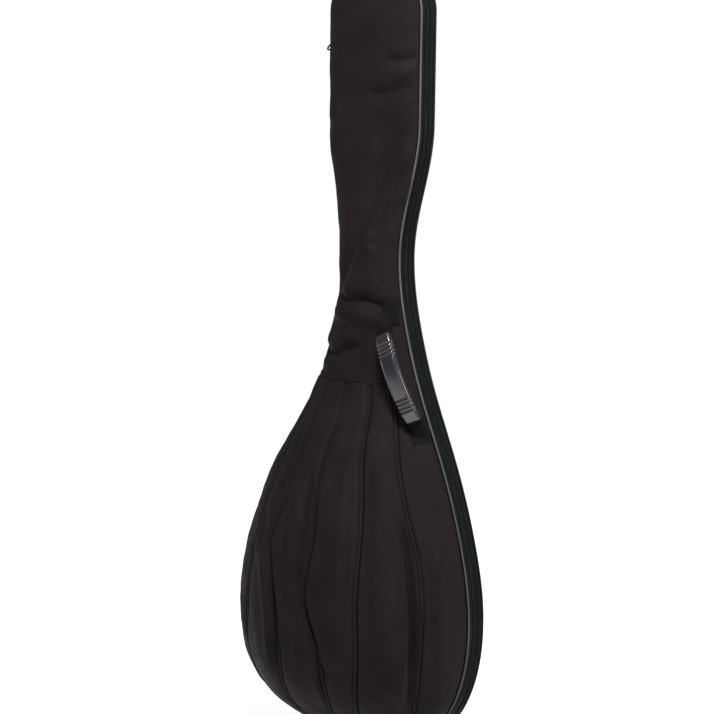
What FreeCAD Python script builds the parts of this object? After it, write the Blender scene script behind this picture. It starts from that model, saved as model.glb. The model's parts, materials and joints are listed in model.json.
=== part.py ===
import FreeCAD, Part
import math
import os

# Padded soft bag for a long-necked lute, standing upright with its ribbed back
# facing -Y and its flat lid facing +Y. The rim where bowl and side wall meet is
# one plane across Y. All lengths are in millimetres and come from the sheet.

os.makedirs("parts", exist_ok=True)
doc = FreeCAD.newDocument("LuteBag")
sheet = doc.addObject("Spreadsheet::Sheet", "Sizes")

SIZES = {
    # heights of the stations up the bag
    "tail_corner_height": 31.0,
    "haunch_height": 90.0,
    "belly_height": 180.0,
    "flank_height": 290.0,
    "shoulder_height": 400.0,
    "joint_height": 507.0,
    "neck_root_height": 560.0,
    "waist_height": 700.0,
    "cheek_height": 790.0,
    "head_foot_height": 862.0,
    "head_corner_height": 1016.0,
    "crown_corner_height": 1060.0,
    "bag_length": 1075.0,
    # half widths of the rim at the stations
    "tail_corner_half_width": 132.0,
    "haunch_half_width": 171.0,
    "belly_half_width": 185.0,
    "flank_half_width": 167.0,
    "shoulder_half_width": 129.0,
    "joint_half_width": 84.0,
    "neck_root_half_width": 67.0,
    "waist_half_width": 48.5,
    "cheek_half_width": 69.0,
    "head_half_width": 80.0,
    "crown_corner_half_width": 58.0,
    # depths of the padded back behind the rim at the stations
    "tail_corner_depth": 76.0,
    "haunch_depth": 141.0,
    "belly_depth": 167.0,
    "flank_depth": 159.0,
    "shoulder_depth": 114.0,
    "joint_depth": 45.0,
    "neck_root_depth": 41.0,
    "waist_depth": 42.0,
    "cheek_depth": 30.0,
    "head_foot_depth": 26.0,
    "head_corner_depth": 33.0,
    "crown_corner_depth": 20.0,
    "bowl_depth": 170.9,
    # padded walls
    "gore_wall": 8.0,
    "neck_wall": 6.0,
    "lining_wall": 1.0,
    "layer_gap": 0.3,
    "gore_crown": 3.5,
    "joint_band_height": 8.0,
    "joint_band_raise": 1.5,
    "joint_band_end_angle": 4.0,
    "outer_seam_angle": 26.0,
    "middle_seam_angle": 57.0,
    "inner_seam_angle": 79.0,
    "seam_gap_angle": 0.1,
    "first_section_height": 1.5,
    "straight_angle": 0.01,
    "cut_past": 1.2,
    # side wall, measured from the rim toward the lid
    "piping_flange": 0.8,
    "piping_radius": 2.0,
    "piping_out": 2.6,
    "rear_band_width": 10.2,
    "band_wall": 4.0,
    "tape_width": 4.2,
    "tape_wall": 1.0,
    "tape_inset": 0.6,
    "coil_width": 1.4,
    "coil_out": 0.3,
    "coil_wall": 2.5,
    "parting_gap": 1.6,
    "front_band_width": 7.0,
    "lid_edge_inset": 0.2,
    "lid_cloth_wall": 1.0,
    "lid_foam_inset": 1.5,
    "lid_lining_wall": 0.8,
    "lid_foam_wall": 4.4,
    "lid_round": 3.0,
    "lid_core_round": 2.0,
    # uncut stretch at the left of the bowl, where the lid swings
    "hinge_low_height": 110.0,
    "hinge_high_height": 260.0,
    "hinge_out": 4.5,
    "hinge_strip_gap": 0.6,
    # carry handle on the right flank
    "upper_axis_height": 592.0,
    "upper_axis_out": 50.0,
    "upper_axis_behind_rim": 31.0,
    "lower_axis_height": 438.0,
    "lower_axis_out": 119.7,
    "lower_axis_behind_rim": 22.0,
    "handle_lean_angle": 15.0,
    "handle_rise": 29.0,
    "grip_end_rise": 17.0,
    "grip_end_run": 21.0,
    "grip_width": 24.0,
    "grip_thickness": 12.0,
    "grip_end_thickness": 8.0,
    "grip_round": 3.6,
    "groove_width": 1.8,
    "groove_depth": 1.2,
    "groove_pitch": 4.5,
    "groove_start": 6.0,
    "webbing_width": 20.0,
    "webbing_thickness": 2.4,
    "webbing_eye_radius": 3.0,
    "webbing_eye_width": 8.0,
    "patch_wall": 1.8,
    "patch_side_angle": 1.0,
    "upper_patch_width": 30.0,
    "upper_patch_height": 40.0,
    "upper_patch_middle": 604.0,
    "upper_patch_behind_rim": 18.0,
    "lower_patch_width": 32.0,
    "lower_patch_height": 32.0,
    "lower_patch_middle": 440.0,
    "lower_patch_behind_rim": 21.0,
    # zip sliders on the left of the head
    "upper_slider_height": 985.0,
    "lower_slider_height": 973.0,
    "slider_length": 11.0,
    "slider_width": 9.4,
    "slider_plate": 1.3,
    "slider_clearance": 0.9,
    "slider_post": 1.0,
    "slider_post_length": 3.0,
    "bridge_reach": 4.3,
    "bridge_bar": 1.0,
    "bridge_half_length": 3.6,
    "bridge_width": 2.4,
    "pull_bar_radius": 0.9,
    "pull_cheek": 1.1,
    "pull_side_gap": 0.4,
    "pull_thickness": 1.9,
    "pull_neck_start": 5.2,
    "pull_length": 31.0,
    "pull_end_radius": 5.0,
    "pull_hole_radius": 2.7,
    "upper_pull_angle": 42.0,
}

for row, (alias, value) in enumerate(SIZES.items(), start=1):
    sheet.set("A%d" % row, alias)
    sheet.set("B%d" % row, str(value))
    sheet.setAlias("B%d" % row, alias)
doc.recompute()


def size(alias):
    return float(sheet.get(alias))


SIDE_WALL_PARTS = (
    "piping_flange", "rear_band_width", "tape_width", "coil_width", "parting_gap",
    "coil_width", "tape_width", "front_band_width", "piping_flange", "lid_lining_wall",
    "lid_foam_wall", "lid_cloth_wall",
)
side_wall = sum(size(alias) for alias in SIDE_WALL_PARTS)
rim_y = (size("bowl_depth") - side_wall) / 2
rim_margin = size("piping_out") + size("piping_radius")
crown_height = size("bag_length") - rim_margin
rear_band_y = rim_y + size("piping_flange")
rear_tape_y = rear_band_y + size("rear_band_width")
rear_coil_y = rear_tape_y + size("tape_width")
parting_start_y = rear_coil_y + size("coil_width")
parting_y = parting_start_y + size("parting_gap") / 2
front_coil_y = parting_start_y + size("parting_gap")
front_tape_y = front_coil_y + size("coil_width")
front_band_y = front_tape_y + size("tape_width")
front_flange_y = front_band_y + size("front_band_width")
lid_y = front_flange_y + size("piping_flange")


# Half profiles of the bag, sampled finely so that they can be moved in or out.

CURVE_SAMPLES = 900
STRAIGHT_SAMPLES = 60
CROWN_SAMPLES = 200


def curve_through(points, start, finish):
    curve = Part.BSplineCurve()
    curve.interpolate(Points=points, InitialTangent=start, FinalTangent=finish, Scale=False)
    return curve


def samples_of(curve, count):
    first = curve.FirstParameter
    step = (curve.LastParameter - first) / count
    places = [first + step * i for i in range(count + 1)]
    return [(curve.value(u), curve.tangent(u)[0]) for u in places]


OUT = FreeCAD.Vector(1, 0, 0)
UP = FreeCAD.Vector(0, 0, 1)

LOWER_STATIONS = (
    "tail_corner", "haunch", "belly", "flank", "shoulder", "joint", "neck_root", "waist", "cheek",
)


def width_profile():
    """Tail to crown along the rim: a curve, the straight side of the head, and the crown."""
    lower = [FreeCAD.Vector(0, 0, rim_margin)]
    for name in LOWER_STATIONS:
        lower.append(FreeCAD.Vector(size(name + "_half_width"), 0, size(name + "_height")))
    head = size("head_half_width")
    foot = FreeCAD.Vector(head, 0, size("head_foot_height"))
    corner = FreeCAD.Vector(head, 0, size("head_corner_height"))
    bend = FreeCAD.Vector(size("crown_corner_half_width"), 0, size("crown_corner_height"))
    top = FreeCAD.Vector(0, 0, crown_height)
    lower.append(foot)
    rows = samples_of(curve_through(lower, OUT, UP), CURVE_SAMPLES)
    for step in range(1, STRAIGHT_SAMPLES):
        rows.append((foot + (corner - foot) * (step / STRAIGHT_SAMPLES), UP))
    rows += samples_of(curve_through([corner, bend, top], UP, -OUT), CROWN_SAMPLES)
    return rows


def depth_profile():
    """Tail to crown along the middle of the back."""
    points = [FreeCAD.Vector(0, 0, rim_margin)]
    for name in LOWER_STATIONS + ("head_foot", "head_corner", "crown_corner"):
        points.append(FreeCAD.Vector(size(name + "_depth"), 0, size(name + "_height")))
    points.append(FreeCAD.Vector(0, 0, crown_height))
    return samples_of(curve_through(points, OUT, -OUT), CURVE_SAMPLES)


WIDTH_ROWS = width_profile()
DEPTH_ROWS = depth_profile()
moved_rows = {}


def moved(rows, inset):
    key = (id(rows), round(inset, 3))
    if key not in moved_rows:
        points = []
        for point, along in rows:
            inward = FreeCAD.Vector(-along.z, 0, along.x)
            points.append(point + inward * inset)
        moved_rows[key] = points
    return moved_rows[key]


def reach_at(rows, height, inset):
    points = moved(rows, inset)
    for low, high in zip(points, points[1:]):
        if low.z <= height <= high.z and high.z > low.z:
            share = (height - low.z) / (high.z - low.z)
            return low.x + (high.x - low.x) * share
    return 0.0


def back_point(height, angle, inset):
    """A point of the back at a height; angle 0 is the right rim, 180 the left rim."""
    turn = math.radians(angle)
    half_width = reach_at(WIDTH_ROWS, height, inset)
    depth = reach_at(DEPTH_ROWS, height, inset)
    return FreeCAD.Vector(half_width * math.cos(turn), rim_y - depth * math.sin(turn), height)


def arc_points(height, start, finish, inset, crown, steps):
    fade = min(1.0, reach_at(DEPTH_ROWS, height, 0) / size("joint_depth"))
    points = []
    for i in range(steps + 1):
        share = i / steps
        raise_here = crown * fade * math.sin(math.pi * share)
        points.append(back_point(height, start + (finish - start) * share, inset - raise_here))
    return points


def arc_chain(points):
    """Arcs through points taken three at a time, or a line where the three are in line."""
    edges = []
    for near, between, far in zip(points[::2], points[1::2], points[2::2]):
        turn = math.degrees((between - near).getAngle(far - between))
        if turn < size("straight_angle"):
            edges.append(Part.makeLine(near, far))
        else:
            edges.append(Part.Arc(near, between, far).toShape())
    return edges


def closed_section(points, corners):
    edges = arc_chain(points)
    chain = [points[-1]] + corners + [points[0]]
    for near, far in zip(chain, chain[1:]):
        edges.append(Part.makeLine(near, far))
    return Part.Wire(edges)


# Steps of a section between two angles; each two steps of a round section make one arc.
GORE_STEPS = 4
ROUND_STEPS = 12
INSIDE_STEPS = 10


def wedge(heights, start, finish, inset, crown, steps=GORE_STEPS):
    """A sector of the back, from the surface in to the line at the middle of the rim plane."""
    wires = []
    for height in heights:
        points = arc_points(height, start, finish, inset, crown, steps)
        wires.append(closed_section(points, [FreeCAD.Vector(0, rim_y, height)]))
    return Part.makeLoft(wires, True, True)


def hollow(heights, inset, past_rim):
    """The space inside the back at an inset, with flat sides, carried past the rim plane."""
    wires = []
    for height in heights:
        points = arc_points(height, 0, 180, inset, 0, INSIDE_STEPS)
        if past_rim > 0:
            lift = FreeCAD.Vector(0, past_rim, 0)
            points += [points[-1] + lift, points[0] + lift]
        wires.append(Part.makePolygon(points + points[:1]))
    return Part.makeLoft(wires, True, True)


def rounded_back(heights):
    """The whole body of the back as far as the rim plane."""
    wires = [closed_section(arc_points(height, 0, 180, 0, 0, ROUND_STEPS), []) for height in heights]
    return Part.makeLoft(wires, True, True)


def spread(low, high, shares):
    return [low + (high - low) * share for share in shares]


# Shares of the height where sections stand, closer together where the back curves most.
BOWL_SHARES = (0, 0.006, 0.018, 0.04, 0.075, 0.12, 0.18, 0.26, 0.36, 0.47, 0.58, 0.69, 0.79, 0.88, 0.945, 1)
NECK_SHARES = (
    0, 0.05, 0.1, 0.16, 0.22, 0.28, 0.33, 0.38, 0.43, 0.49, 0.55,
    0.62, 0.7, 0.78, 0.86, 0.915, 0.95, 0.975, 0.99, 1,
)

BAND_SHARES = (0, 0.5, 1)

band_low = size("joint_height") - size("joint_band_height") / 2
band_high = size("joint_height") + size("joint_band_height") / 2


def bowl_heights(inset, top_extra):
    low = rim_margin + inset + size("first_section_height")
    return spread(low, band_low + top_extra, BOWL_SHARES)


def neck_heights(inset, low_extra):
    top = crown_height - inset - size("first_section_height")
    return spread(band_high - low_extra, top, NECK_SHARES)


pieces = {}


def keep(label, thing):
    thing.Label = label
    pieces[label] = thing
    return thing


def solid_feature(label, shape):
    feature = doc.addObject("Part::Feature", "Solid_" + label)
    feature.Shape = shape
    feature.Placement = FreeCAD.Placement()
    return keep(label, feature)


# Ribbed back: seven padded gores side by side, with a lining inside.

outer = size("outer_seam_angle")
middle = size("middle_seam_angle")
inner = size("inner_seam_angle")
SEAMS = (0, outer, middle, inner, 180 - inner, 180 - middle, 180 - outer, 180)
PAST_RIM = size("cut_past")
CUT_PAST = size("cut_past") / 2

bowl_space = hollow(bowl_heights(size("gore_wall"), CUT_PAST), size("gore_wall"), PAST_RIM)
for number in range(7):
    start = SEAMS[number] + (size("seam_gap_angle") if number > 0 else 0)
    finish = SEAMS[number + 1] - (size("seam_gap_angle") if number < 6 else 0)
    body = wedge(bowl_heights(0, 0), start, finish, 0, size("gore_crown"))
    solid_feature("bowl_gore_%d" % (number + 1), body.cut(bowl_space).Solids[0])

lining_out = size("gore_wall") + size("layer_gap")
lining_in = lining_out + size("lining_wall")
lining_body = hollow(bowl_heights(lining_out, 0), lining_out, 0)
lining_space = hollow(bowl_heights(lining_in, CUT_PAST), lining_in, PAST_RIM)
solid_feature("bowl_lining", lining_body.cut(lining_space).Solids[0])

# Neck and head: one padded panel with its own lining.

neck_body = rounded_back(neck_heights(0, 0))
neck_space = hollow(neck_heights(size("neck_wall"), CUT_PAST), size("neck_wall"), PAST_RIM)
solid_feature("neck_panel", neck_body.cut(neck_space).Solids[0])
neck_lining_out = size("neck_wall") + size("layer_gap")
neck_lining_in = neck_lining_out + size("lining_wall")
neck_lining_body = hollow(neck_heights(neck_lining_out, 0), neck_lining_out, 0)
neck_lining_space = hollow(neck_heights(neck_lining_in, CUT_PAST), neck_lining_in, PAST_RIM)
solid_feature("neck_lining", neck_lining_body.cut(neck_lining_space).Solids[0])

# Joint band across the back where bowl and neck meet. It stops short of the piping.

band_end = size("joint_band_end_angle")
band_heights = spread(band_low, band_high, BAND_SHARES)
band_cut_heights = spread(band_low - CUT_PAST, band_high + CUT_PAST, BAND_SHARES)
band_body = wedge(band_heights, band_end, 180 - band_end, -size("joint_band_raise"), 0, ROUND_STEPS)
band_space = hollow(band_cut_heights, size("gore_wall"), PAST_RIM)
solid_feature("joint_band", band_body.cut(band_space).Solids[0])


# Side wall: rings of the rim outline, stacked along Y.

LOWER_ARCS = 22
CROWN_ARCS = 4


def outline_places():
    """Samples where the arcs of the outline start, pass and end: below, beside and over the head."""
    corner = CURVE_SAMPLES + STRAIGHT_SAMPLES
    places = [round(CURVE_SAMPLES * i / (2 * LOWER_ARCS)) for i in range(2 * LOWER_ARCS)]
    places += [CURVE_SAMPLES, CURVE_SAMPLES + STRAIGHT_SAMPLES // 2]
    places += [corner + round(CROWN_SAMPLES * i / (2 * CROWN_ARCS)) for i in range(2 * CROWN_ARCS + 1)]
    return places


OUTLINE_PLACES = outline_places()


def outline_wire(inset, at_y):
    points = moved(WIDTH_ROWS, inset)
    right = [FreeCAD.Vector(points[i].x, at_y, points[i].z) for i in OUTLINE_PLACES]
    left = [FreeCAD.Vector(-point.x, at_y, point.z) for point in reversed(right)]
    return Part.Wire(arc_chain(right) + arc_chain(left))


def ring_face(outer_inset, inner_inset):
    wires = [outline_wire(outer_inset, 0), outline_wire(inner_inset, 0)]
    return Part.makeFace(wires, "Part::FaceMakerBullseye")


def base_face(name, face):
    feature = doc.addObject("Part::Feature", name)
    feature.Shape = face
    return feature


def pushed(name, base, length, at_y):
    """A flat face pushed along Y by a length from the sheet."""
    push = doc.addObject("Part::Extrusion", name)
    push.Base = base
    push.DirMode = "Custom"
    push.Dir = FreeCAD.Vector(0, 1, 0)
    push.Solid = True
    push.setExpression("LengthFwd", length)
    push.Placement = FreeCAD.Placement(FreeCAD.Vector(0, at_y, 0), FreeCAD.Rotation())
    return push


def sheet_box(name, lengths, corner):
    box = doc.addObject("Part::Box", name)
    for side, text in zip(("Length", "Width", "Height"), lengths):
        box.setExpression(side, text)
    box.Placement = FreeCAD.Placement(corner, FreeCAD.Rotation())
    return box


def joined(kind, name, base, tool):
    result = doc.addObject(kind, name)
    result.Base = base
    result.Tool = tool
    return result


band_face = base_face("band_outline", ring_face(0, size("band_wall")))
tape_face = base_face(
    "tape_outline", ring_face(size("tape_inset"), size("tape_inset") + size("tape_wall"))
)
coil_face = base_face("coil_outline", ring_face(-size("coil_out"), size("coil_wall") - size("coil_out")))
strip_face = base_face("strip_outline", ring_face(0, size("coil_wall") - size("coil_out")))


def piping(label, at_y):
    """A bead of eight sides along the rim, in one with the flat flange sewn between the layers."""
    radius = size("piping_radius")
    half_flange = size("piping_flange") / 2
    middle_y = at_y + half_flange
    middle = -size("piping_out")
    near = middle + radius
    far = middle - radius
    flat = radius * math.tan(math.pi / 8)
    flange_end = size("gore_wall")
    profile = (
        (flange_end, -half_flange), (near, -half_flange), (near, -flat), (middle + flat, -radius),
        (middle - flat, -radius), (far, -flat), (far, flat), (middle - flat, radius),
        (middle + flat, radius), (near, flat), (near, half_flange), (flange_end, half_flange),
    )
    rings = [outline_wire(inset, middle_y + along) for inset, along in profile]
    return solid_feature(label, Part.makeLoft(rings, True, True, True))


def stretch_box(name):
    left = size("belly_half_width") + size("hinge_out")
    corner = FreeCAD.Vector(-left, rim_y, size("hinge_low_height"))
    lengths = (
        "Sizes.belly_half_width",
        "Sizes.bowl_depth",
        "Sizes.hinge_high_height - Sizes.hinge_low_height",
    )
    return sheet_box(name, lengths, corner)


def zip_ring(label, face, length, at_y):
    ring = pushed(label + "_ring", face, length, at_y)
    return keep(label, joined("Part::Cut", label + "_open", ring, stretch_box(label + "_stretch")))


piping("rear_piping", rim_y)
keep("rear_zip_band", pushed("rear_band", band_face, "Sizes.rear_band_width", rear_band_y))
zip_ring("rear_zip_tape", tape_face, "Sizes.tape_width", rear_tape_y)
zip_ring("rear_zip_coil", coil_face, "Sizes.coil_width", rear_coil_y)

strip_length = "Sizes.tape_width + Sizes.coil_width + (Sizes.parting_gap - Sizes.hinge_strip_gap) / 2"
rear_strip = pushed("rear_strip_ring", strip_face, strip_length, rear_tape_y)
keep(
    "rear_hinge_strip",
    joined("Part::Common", "rear_strip", rear_strip, stretch_box("rear_strip_stretch")),
)

# Lid: its half of the side wall and the flat padded panel.

front_strip = pushed(
    "front_strip_ring", strip_face, strip_length, parting_y + size("hinge_strip_gap") / 2
)
keep(
    "front_hinge_strip",
    joined("Part::Common", "front_strip", front_strip, stretch_box("front_strip_stretch")),
)
zip_ring("front_zip_coil", coil_face, "Sizes.coil_width", front_coil_y)
zip_ring("front_zip_tape", tape_face, "Sizes.tape_width", front_tape_y)
keep("front_zip_band", pushed("front_band", band_face, "Sizes.front_band_width", front_band_y))
piping("front_piping", front_flange_y)

ROUNDING_STEPS = 3


def lid_block(inset, height, radius):
    """A flat block on the lid plane whose front edge is rounded in a few steps."""
    front_y = lid_y + height
    rings = [outline_wire(inset, lid_y)]
    for step in range(ROUNDING_STEPS + 1):
        turn = math.pi / 2 * step / ROUNDING_STEPS
        along = radius * (1 - math.sin(turn))
        rings.append(outline_wire(inset + radius * (1 - math.cos(turn)), front_y - along))
    return Part.makeLoft(rings, True, True)


lining_face = base_face("lid_lining_outline", Part.Face(outline_wire(size("lid_foam_inset"), 0)))
keep("lid_lining", pushed("lid_lining_layer", lining_face, "Sizes.lid_lining_wall", lid_y))

core_height = size("lid_lining_wall") + size("lid_foam_wall")
foam_block = lid_block(size("lid_foam_inset"), core_height, size("lid_core_round"))
lining_block = Part.Face(outline_wire(size("lid_edge_inset"), lid_y)).extrude(
    FreeCAD.Vector(0, size("lid_lining_wall"), 0)
)
solid_feature("lid_foam", foam_block.cut(lining_block).Solids[0])
core_inset = size("lid_edge_inset") + size("lid_cloth_wall")
cloth_block = lid_block(size("lid_edge_inset"), core_height + size("lid_cloth_wall"), size("lid_round"))
core_block = lid_block(core_inset, core_height, size("lid_core_round"))
solid_feature("lid_cloth", cloth_block.cut(core_block).Solids[0])

# Carry handle: a rubber grip between two tapered ends of webbing, drawn in its own plane.

upper_axis = FreeCAD.Vector(
    size("upper_axis_out"), rim_y - size("upper_axis_behind_rim"), size("upper_axis_height")
)
lower_axis = FreeCAD.Vector(
    size("lower_axis_out"), rim_y - size("lower_axis_behind_rim"), size("lower_axis_height")
)
handle_span = (lower_axis - upper_axis).Length
along_axis = (lower_axis - upper_axis).normalize()
outward = along_axis.cross(FreeCAD.Vector(0, -1, 0)).normalize()
if outward.x < 0:
    outward = -outward
toward_back = along_axis.cross(outward)
if toward_back.y > 0:
    toward_back = -toward_back
lean = math.radians(size("handle_lean_angle"))
rise_axis = toward_back * math.cos(lean) + outward * math.sin(lean)
side_axis = along_axis.cross(rise_axis)
handle_frame = FreeCAD.Placement(
    FreeCAD.Matrix(
        along_axis.x, rise_axis.x, side_axis.x, upper_axis.x,
        along_axis.y, rise_axis.y, side_axis.y, upper_axis.y,
        along_axis.z, rise_axis.z, side_axis.z, upper_axis.z,
        0, 0, 0, 1,
    )
)
half_span = handle_span / 2
end_run = size("grip_end_run")


def arch_edge(end_rise, middle_rise, z):
    return Part.Arc(
        FreeCAD.Vector(end_run, end_rise, z),
        FreeCAD.Vector(half_span, middle_rise, z),
        FreeCAD.Vector(handle_span - end_run, end_rise, z),
    ).toShape()


half_grip = size("grip_thickness") / 2
half_end = size("grip_end_thickness") / 2
low_side = -size("grip_width") / 2
under = arch_edge(size("grip_end_rise") - half_end, size("handle_rise") - half_grip, low_side)
over = arch_edge(size("grip_end_rise") + half_end, size("handle_rise") + half_grip, low_side)
near_end = Part.makeLine(over.Vertexes[0].Point, under.Vertexes[0].Point)
far_end = Part.makeLine(under.Vertexes[-1].Point, over.Vertexes[-1].Point)
grip_outline = Part.Face(Part.Wire(Part.__sortEdges__([under, far_end, over, near_end])))
grip_base = base_face("grip_outline", grip_outline)
grip_bar = doc.addObject("Part::Extrusion", "grip_bar")
grip_bar.Base = grip_base
grip_bar.DirMode = "Custom"
grip_bar.Dir = FreeCAD.Vector(0, 0, 1)
grip_bar.Solid = True
grip_bar.setExpression("LengthFwd", "Sizes.grip_width")
doc.recompute()

grip_rounded = doc.addObject("Part::Fillet", "grip_rounded")
grip_rounded.Base = grip_bar
long_edges = []
for index, edge in enumerate(grip_bar.Shape.Edges, start=1):
    if edge.Length > half_span:
        long_edges.append((index, size("grip_round"), size("grip_round")))
grip_rounded.Edges = long_edges

arch_drop = size("handle_rise") + half_grip - size("grip_end_rise") - half_end
arch_half = half_span - end_run
arch_radius = (arch_half ** 2 + arch_drop ** 2) / (2 * arch_drop)
arch_middle = FreeCAD.Vector(half_span, size("handle_rise") + half_grip - arch_radius, 0)
grooves = []
for end in (-1, 1):
    for number in range(4):
        run = size("groove_start") + number * size("groove_pitch")
        turn = (arch_half - run) / arch_radius * end
        groove = doc.addObject("Part::Box", "groove_%s_%d" % ("near" if end < 0 else "far", number))
        groove.setExpression("Length", "Sizes.groove_width")
        groove.setExpression("Width", "Sizes.grip_thickness")
        groove.setExpression("Height", "Sizes.grip_width")
        swing = FreeCAD.Rotation(FreeCAD.Vector(0, 0, 1), -math.degrees(turn))
        floor = arch_radius - size("groove_depth")
        corner = swing.multVec(FreeCAD.Vector(-size("groove_width") / 2, floor, low_side))
        groove.Placement = FreeCAD.Placement(arch_middle + corner, swing)
        grooves.append(groove)
groove_set = doc.addObject("Part::MultiFuse", "groove_set")
groove_set.Shapes = grooves
handle_grip = keep("handle_grip", joined("Part::Cut", "grip_cut", grip_rounded, groove_set))
handle_grip.Placement = handle_frame


def webbing_end(label, mirrored):
    """Webbing that tapers from the end of the grip to an eye around the swing axis."""
    rise = size("grip_end_rise")
    thick = size("webbing_thickness") / 2
    slope = FreeCAD.Vector(end_run, rise, 0).normalize()
    across = FreeCAD.Vector(-slope.y, slope.x, 0)
    eye = size("webbing_eye_radius")
    start = slope * (eye / 2)
    finish = FreeCAD.Vector(end_run, rise, 0)
    sections = []
    for place, normal, width in (
        (start, across, size("webbing_eye_width")),
        (finish, FreeCAD.Vector(0, 1, 0), size("webbing_width")),
    ):
        corners = [
            place + normal * thick + FreeCAD.Vector(0, 0, width / 2),
            place + normal * thick - FreeCAD.Vector(0, 0, width / 2),
            place - normal * thick - FreeCAD.Vector(0, 0, width / 2),
            place - normal * thick + FreeCAD.Vector(0, 0, width / 2),
        ]
        sections.append(Part.makePolygon(corners + corners[:1]))
    strap = Part.makeLoft(sections, True, True)
    eye_bar = Part.makeCylinder(
        eye, size("webbing_eye_width"),
        FreeCAD.Vector(-size("webbing_eye_width") / 2, 0, 0), FreeCAD.Vector(1, 0, 0),
    )
    shape = strap.fuse(eye_bar)
    if mirrored:
        shape = shape.mirror(FreeCAD.Vector(half_span, 0, 0), FreeCAD.Vector(1, 0, 0))
    feature = doc.addObject("Part::Feature", "Solid_" + label)
    feature.Shape = shape
    feature.Placement = handle_frame
    return keep(label, feature)


webbing_end("webbing_end_upper", False)
webbing_end("webbing_end_lower", True)


# Square patches sewn over the webbing where it meets the flank.

def patch(label, back_heights, start, finish, crown):
    """A square cut from a layer that follows the padded back, turned in line with the handle."""
    gap = size("layer_gap")
    middle = size(label + "_patch_middle")
    tall = size(label + "_patch_height")
    wide = size(label + "_patch_width")
    below = [height for height in back_heights if height <= middle - tall]
    above = [height for height in back_heights if height >= middle + tall]
    between = [height for height in back_heights if middle - tall < height < middle + tall]
    heights = below[-1:] + between + above[:1]
    clear = size("patch_side_angle")
    over_layer = wedge(heights, start, finish, -gap - size("patch_wall"), crown)
    under_layer = wedge(heights, start - clear, finish + clear, -gap, crown)
    block = Part.makeBox(2 * wide, wide, tall, FreeCAD.Vector(-wide, -wide / 2, -tall / 2))
    centre = FreeCAD.Vector(
        reach_at(WIDTH_ROWS, middle, 0), rim_y - size(label + "_patch_behind_rim"), middle
    )
    block.Placement = FreeCAD.Placement(centre, FreeCAD.Rotation(UP, along_axis * -1))
    return over_layer.cut(under_layer).common(block).Solids[0]


gore_end = outer - size("seam_gap_angle")
lower_patch = patch("lower", bowl_heights(0, 0), 0, gore_end, size("gore_crown"))
solid_feature("lower_anchor_patch", lower_patch)
solid_feature("upper_anchor_patch", patch("upper", neck_heights(0, 0), band_end, inner, 0))


# Zip sliders: two plates on either side of the chain, a thin post between the coils and a bridge.

zip_x = -size("head_half_width")
outer_plate_x = zip_x - size("coil_out") - size("slider_clearance")
inner_plate_x = zip_x - size("coil_out") + size("coil_wall") + size("slider_clearance")


def slider(label, height):
    plate = "Sizes.slider_plate"
    length = "Sizes.slider_length"
    half_width = size("slider_width") / 2
    half_length = size("slider_length") / 2
    outer_face_x = outer_plate_x - size("slider_plate")
    outer_plate = sheet_box(
        label + "_outer", (plate, "Sizes.slider_width", length),
        FreeCAD.Vector(outer_face_x, parting_y - half_width, height - half_length),
    )
    inner_plate = sheet_box(
        label + "_inner", (plate, "Sizes.slider_width", length),
        FreeCAD.Vector(inner_plate_x, parting_y - half_width, height - half_length),
    )
    post = sheet_box(
        label + "_post",
        (
            "Sizes.coil_wall + 2 * Sizes.slider_clearance + Sizes.slider_plate",
            "Sizes.slider_post",
            "Sizes.slider_post_length",
        ),
        FreeCAD.Vector(
            outer_plate_x - size("slider_plate") / 2,
            parting_y - size("slider_post") / 2,
            height + half_length - size("slider_post_length"),
        ),
    )
    half_bridge = size("bridge_half_length")
    bridge_block = sheet_box(
        label + "_bridge",
        ("Sizes.bridge_reach", "Sizes.bridge_width", "2 * Sizes.bridge_half_length"),
        FreeCAD.Vector(
            outer_face_x - size("bridge_reach"),
            parting_y - size("bridge_width") / 2,
            height - half_bridge,
        ),
    )
    bridge_window = sheet_box(
        label + "_window",
        (
            "Sizes.bridge_reach - Sizes.bridge_bar",
            "2 * Sizes.bridge_width",
            "2 * (Sizes.bridge_half_length - Sizes.bridge_bar)",
        ),
        FreeCAD.Vector(
            outer_face_x - size("bridge_reach") + size("bridge_bar"),
            parting_y - size("bridge_width"),
            height - half_bridge + size("bridge_bar"),
        ),
    )
    bridge = joined("Part::Cut", label + "_arch", bridge_block, bridge_window)
    body = doc.addObject("Part::MultiFuse", label + "_body")
    body.Shapes = [outer_plate, inner_plate, post, bridge]
    return keep(label, body)


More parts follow.
